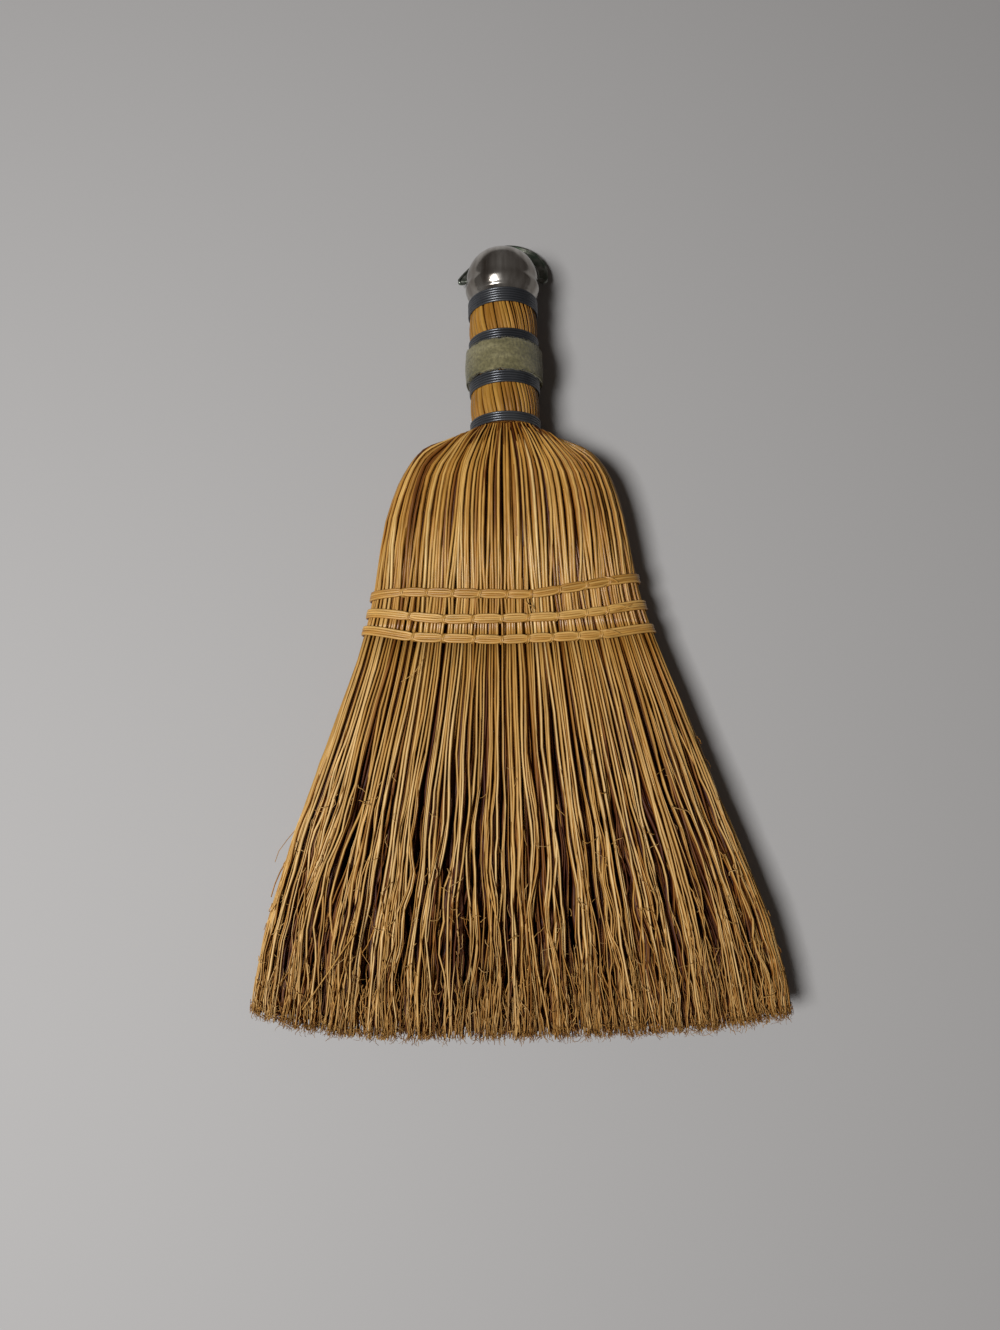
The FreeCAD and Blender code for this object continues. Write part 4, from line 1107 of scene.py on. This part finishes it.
def spin_cap():
    """A half section drawn from crown to lip, spun round the handle's axis and given its thickness."""
    deselect()
    rows = np.array(CAP_SECTION)
    fine = np.linspace(0, len(rows) - 1, 61)
    radius, reach = (smoothed(np.interp(fine, range(len(rows)), column), 5) for column in rows.T)
    radius[0] = 0.0
    line = np.stack((radius, reach, np.zeros_like(radius)), -1)
    cap = new_piece("cap_shell", line, [(i, i + 1) for i in range(len(line) - 1)], [])
    bpy.context.view_layer.objects.active = cap
    cap.select_set(True)
    go_to("EDIT")
    bpy.ops.mesh.select_all(action="SELECT")
    bpy.ops.mesh.spin(steps=96, angle=2 * math.pi, center=(0, 0, AXIS_HEIGHT * MM), axis=(0, 1, 0))
    turn_faces_out(merge=True)
    modify(cap, "SOLIDIFY", thickness=CAP_WALL * MM, offset=-1)
    bpy.ops.object.shade_smooth_by_angle(angle=math.radians(50))
    return cap


def bend_ring():
    """The ring: a rimmed strip bent to a bow with rounded ends, and the two pins it swings on."""
    first, last = -RING_RUN_ON, 180 + RING_RUN_ON
    round_end = RING_ROUND_END * np.sin(np.linspace(0, math.pi / 2, 15)) ** 2
    turn = np.radians(np.concatenate((first + round_end, np.linspace(3, 177, 67), last - round_end[::-1])))
    run = (turn - turn[0]) * RING_RADIUS
    from_end = np.minimum(run, run[-1] - run)
    half = RING_WIDTH / 2
    share = np.sqrt(1 - (1 - np.clip(from_end / half, 0.02, 1)) ** 2)
    low, high = -RING_STRIP / 2, RING_STRIP / 2
    rim_top, rim_inside = RING_RIM + low, half - RING_STRIP
    section = ((half, low), (half, rim_top), (half - 0.35, rim_top + 0.12), (rim_inside, rim_top),
               (rim_inside, high), (-half + RING_EDGE, high), (-half, 0), (-half + RING_EDGE, low))
    across, up = np.array(section).T
    scale = share[:, None]
    radius = RING_RADIUS - half + across * scale
    x, y = (radius * np.cos(turn)[:, None]).ravel(), (radius * np.sin(turn)[:, None]).ravel()
    z = (up * (0.3 + 0.7 * scale)).ravel()
    tuck = RING_LEFT_TUCK * np.clip(y / RING_TUCK_LENGTH, 0, 1) * (x < 0)
    x = x + RING_SHIFT + RING_LEAN * y - tuck * x
    c, s = math.cos(RING_TILT), math.sin(RING_TILT)
    tilted = np.stack((x, y * c + z * s, -y * s + z * c), -1)
    size = len(section)
    faces = []
    for here in range(0, (len(turn) - 1) * size, size):
        there = here + size
        for k in range(size):
            m = (k + 1) % size
            faces.append((here + k, here + m, there + m, there + k))
    faces += [tuple(range(size)), tuple(range(there, there + size))]
    ring = new_piece("ring_bow", tilted + RING_HINGE, [], faces)
    deselect()
    parts = [ring]
    pin_from, pin_to = PIN_REACH
    for side in (-1, 1):
        pin_middle = (side * (pin_from + pin_to) / 2, RING_HINGE[1], RING_HINGE[2])
        bpy.ops.mesh.primitive_cylinder_add(
            vertices=20, radius=PIN_RADIUS * MM, depth=(pin_to - pin_from) * MM,
            location=to_frame(pin_middle), rotation=(0, math.pi / 2, 0))
        parts.append(bpy.context.object)
    for part in parts:
        part.select_set(True)
    bpy.context.view_layer.objects.active = ring
    bpy.ops.object.join()
    turn_faces_out()
    bpy.ops.object.shade_smooth_by_angle(angle=math.radians(35))
    return ring


settle(spin_cap(), nickel, ["end_cap"])
settle(bend_ring(), tarnish, ["hang_ring"], body="hanger")

coat(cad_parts["inner_binding_wire"], wire)


# Floor, light and camera

FLOOR_SIZE, FLOOR_DROP = 6, 0.0002
FLOOR_COLOUR = (0.408, 0.4, 0.396, 1)
LAMP_PLACE = (-0.56, -0.25, 1.12)
LAMP_SIZE, LAMP_POWER = 0.4, 16.7
ROOM_COLOUR, ROOM_STRENGTH = (0.56, 0.49, 0.45, 1), 0.1


def lay_floor():
    deselect()
    bpy.ops.mesh.primitive_plane_add(size=FLOOR_SIZE, location=(0, 0, -FLOOR_DROP))
    floor = bpy.context.object
    floor.name = "floor"
    material, _, shader = start_material("pale_floor")
    give(shader, {"Base Color": FLOOR_COLOUR, "Roughness": 0.75})
    coat(floor, material)


def light_room():
    lamp = bpy.data.lights.new("main_lamp", "AREA")
    lamp.energy = LAMP_POWER
    lamp.size = LAMP_SIZE
    holder = bring_in("main_lamp", lamp)
    holder.location = LAMP_PLACE
    holder.rotation_euler = (-Vector(LAMP_PLACE)).to_track_quat("-Z", "Y").to_euler()
    world = bpy.data.worlds.new("room")
    world.use_nodes = True
    give(world.node_tree.nodes["Background"], {"Color": ROOM_COLOUR, "Strength": ROOM_STRENGTH})
    bpy.context.scene.world = world


lay_floor()
light_room()

CAMERA_PLACE = (-4.52, 92.37 - TIP_OFFSET, 397.0)
CAMERA_TILT = math.radians(7.78)
CAMERA_ROLL = math.radians(1.21)
FOCAL_PIXELS = 925.0
LONG_SIDE = 1330.0


def set_camera():
    view = bpy.data.cameras.new("camera")
    view.sensor_width = 36
    view.lens = 36 * FOCAL_PIXELS / LONG_SIDE
    view.clip_start = 0.01
    camera = bring_in("camera", view)
    tilt, roll = Matrix.Rotation(CAMERA_TILT, 4, "X"), Matrix.Rotation(-CAMERA_ROLL, 4, "Z")
    camera.matrix_world = Matrix.Translation(Vector(CAMERA_PLACE) * MM) @ tilt @ roll
    bpy.context.scene.camera = camera


set_camera()
bpy.context.scene.view_settings.view_transform = "Standard"
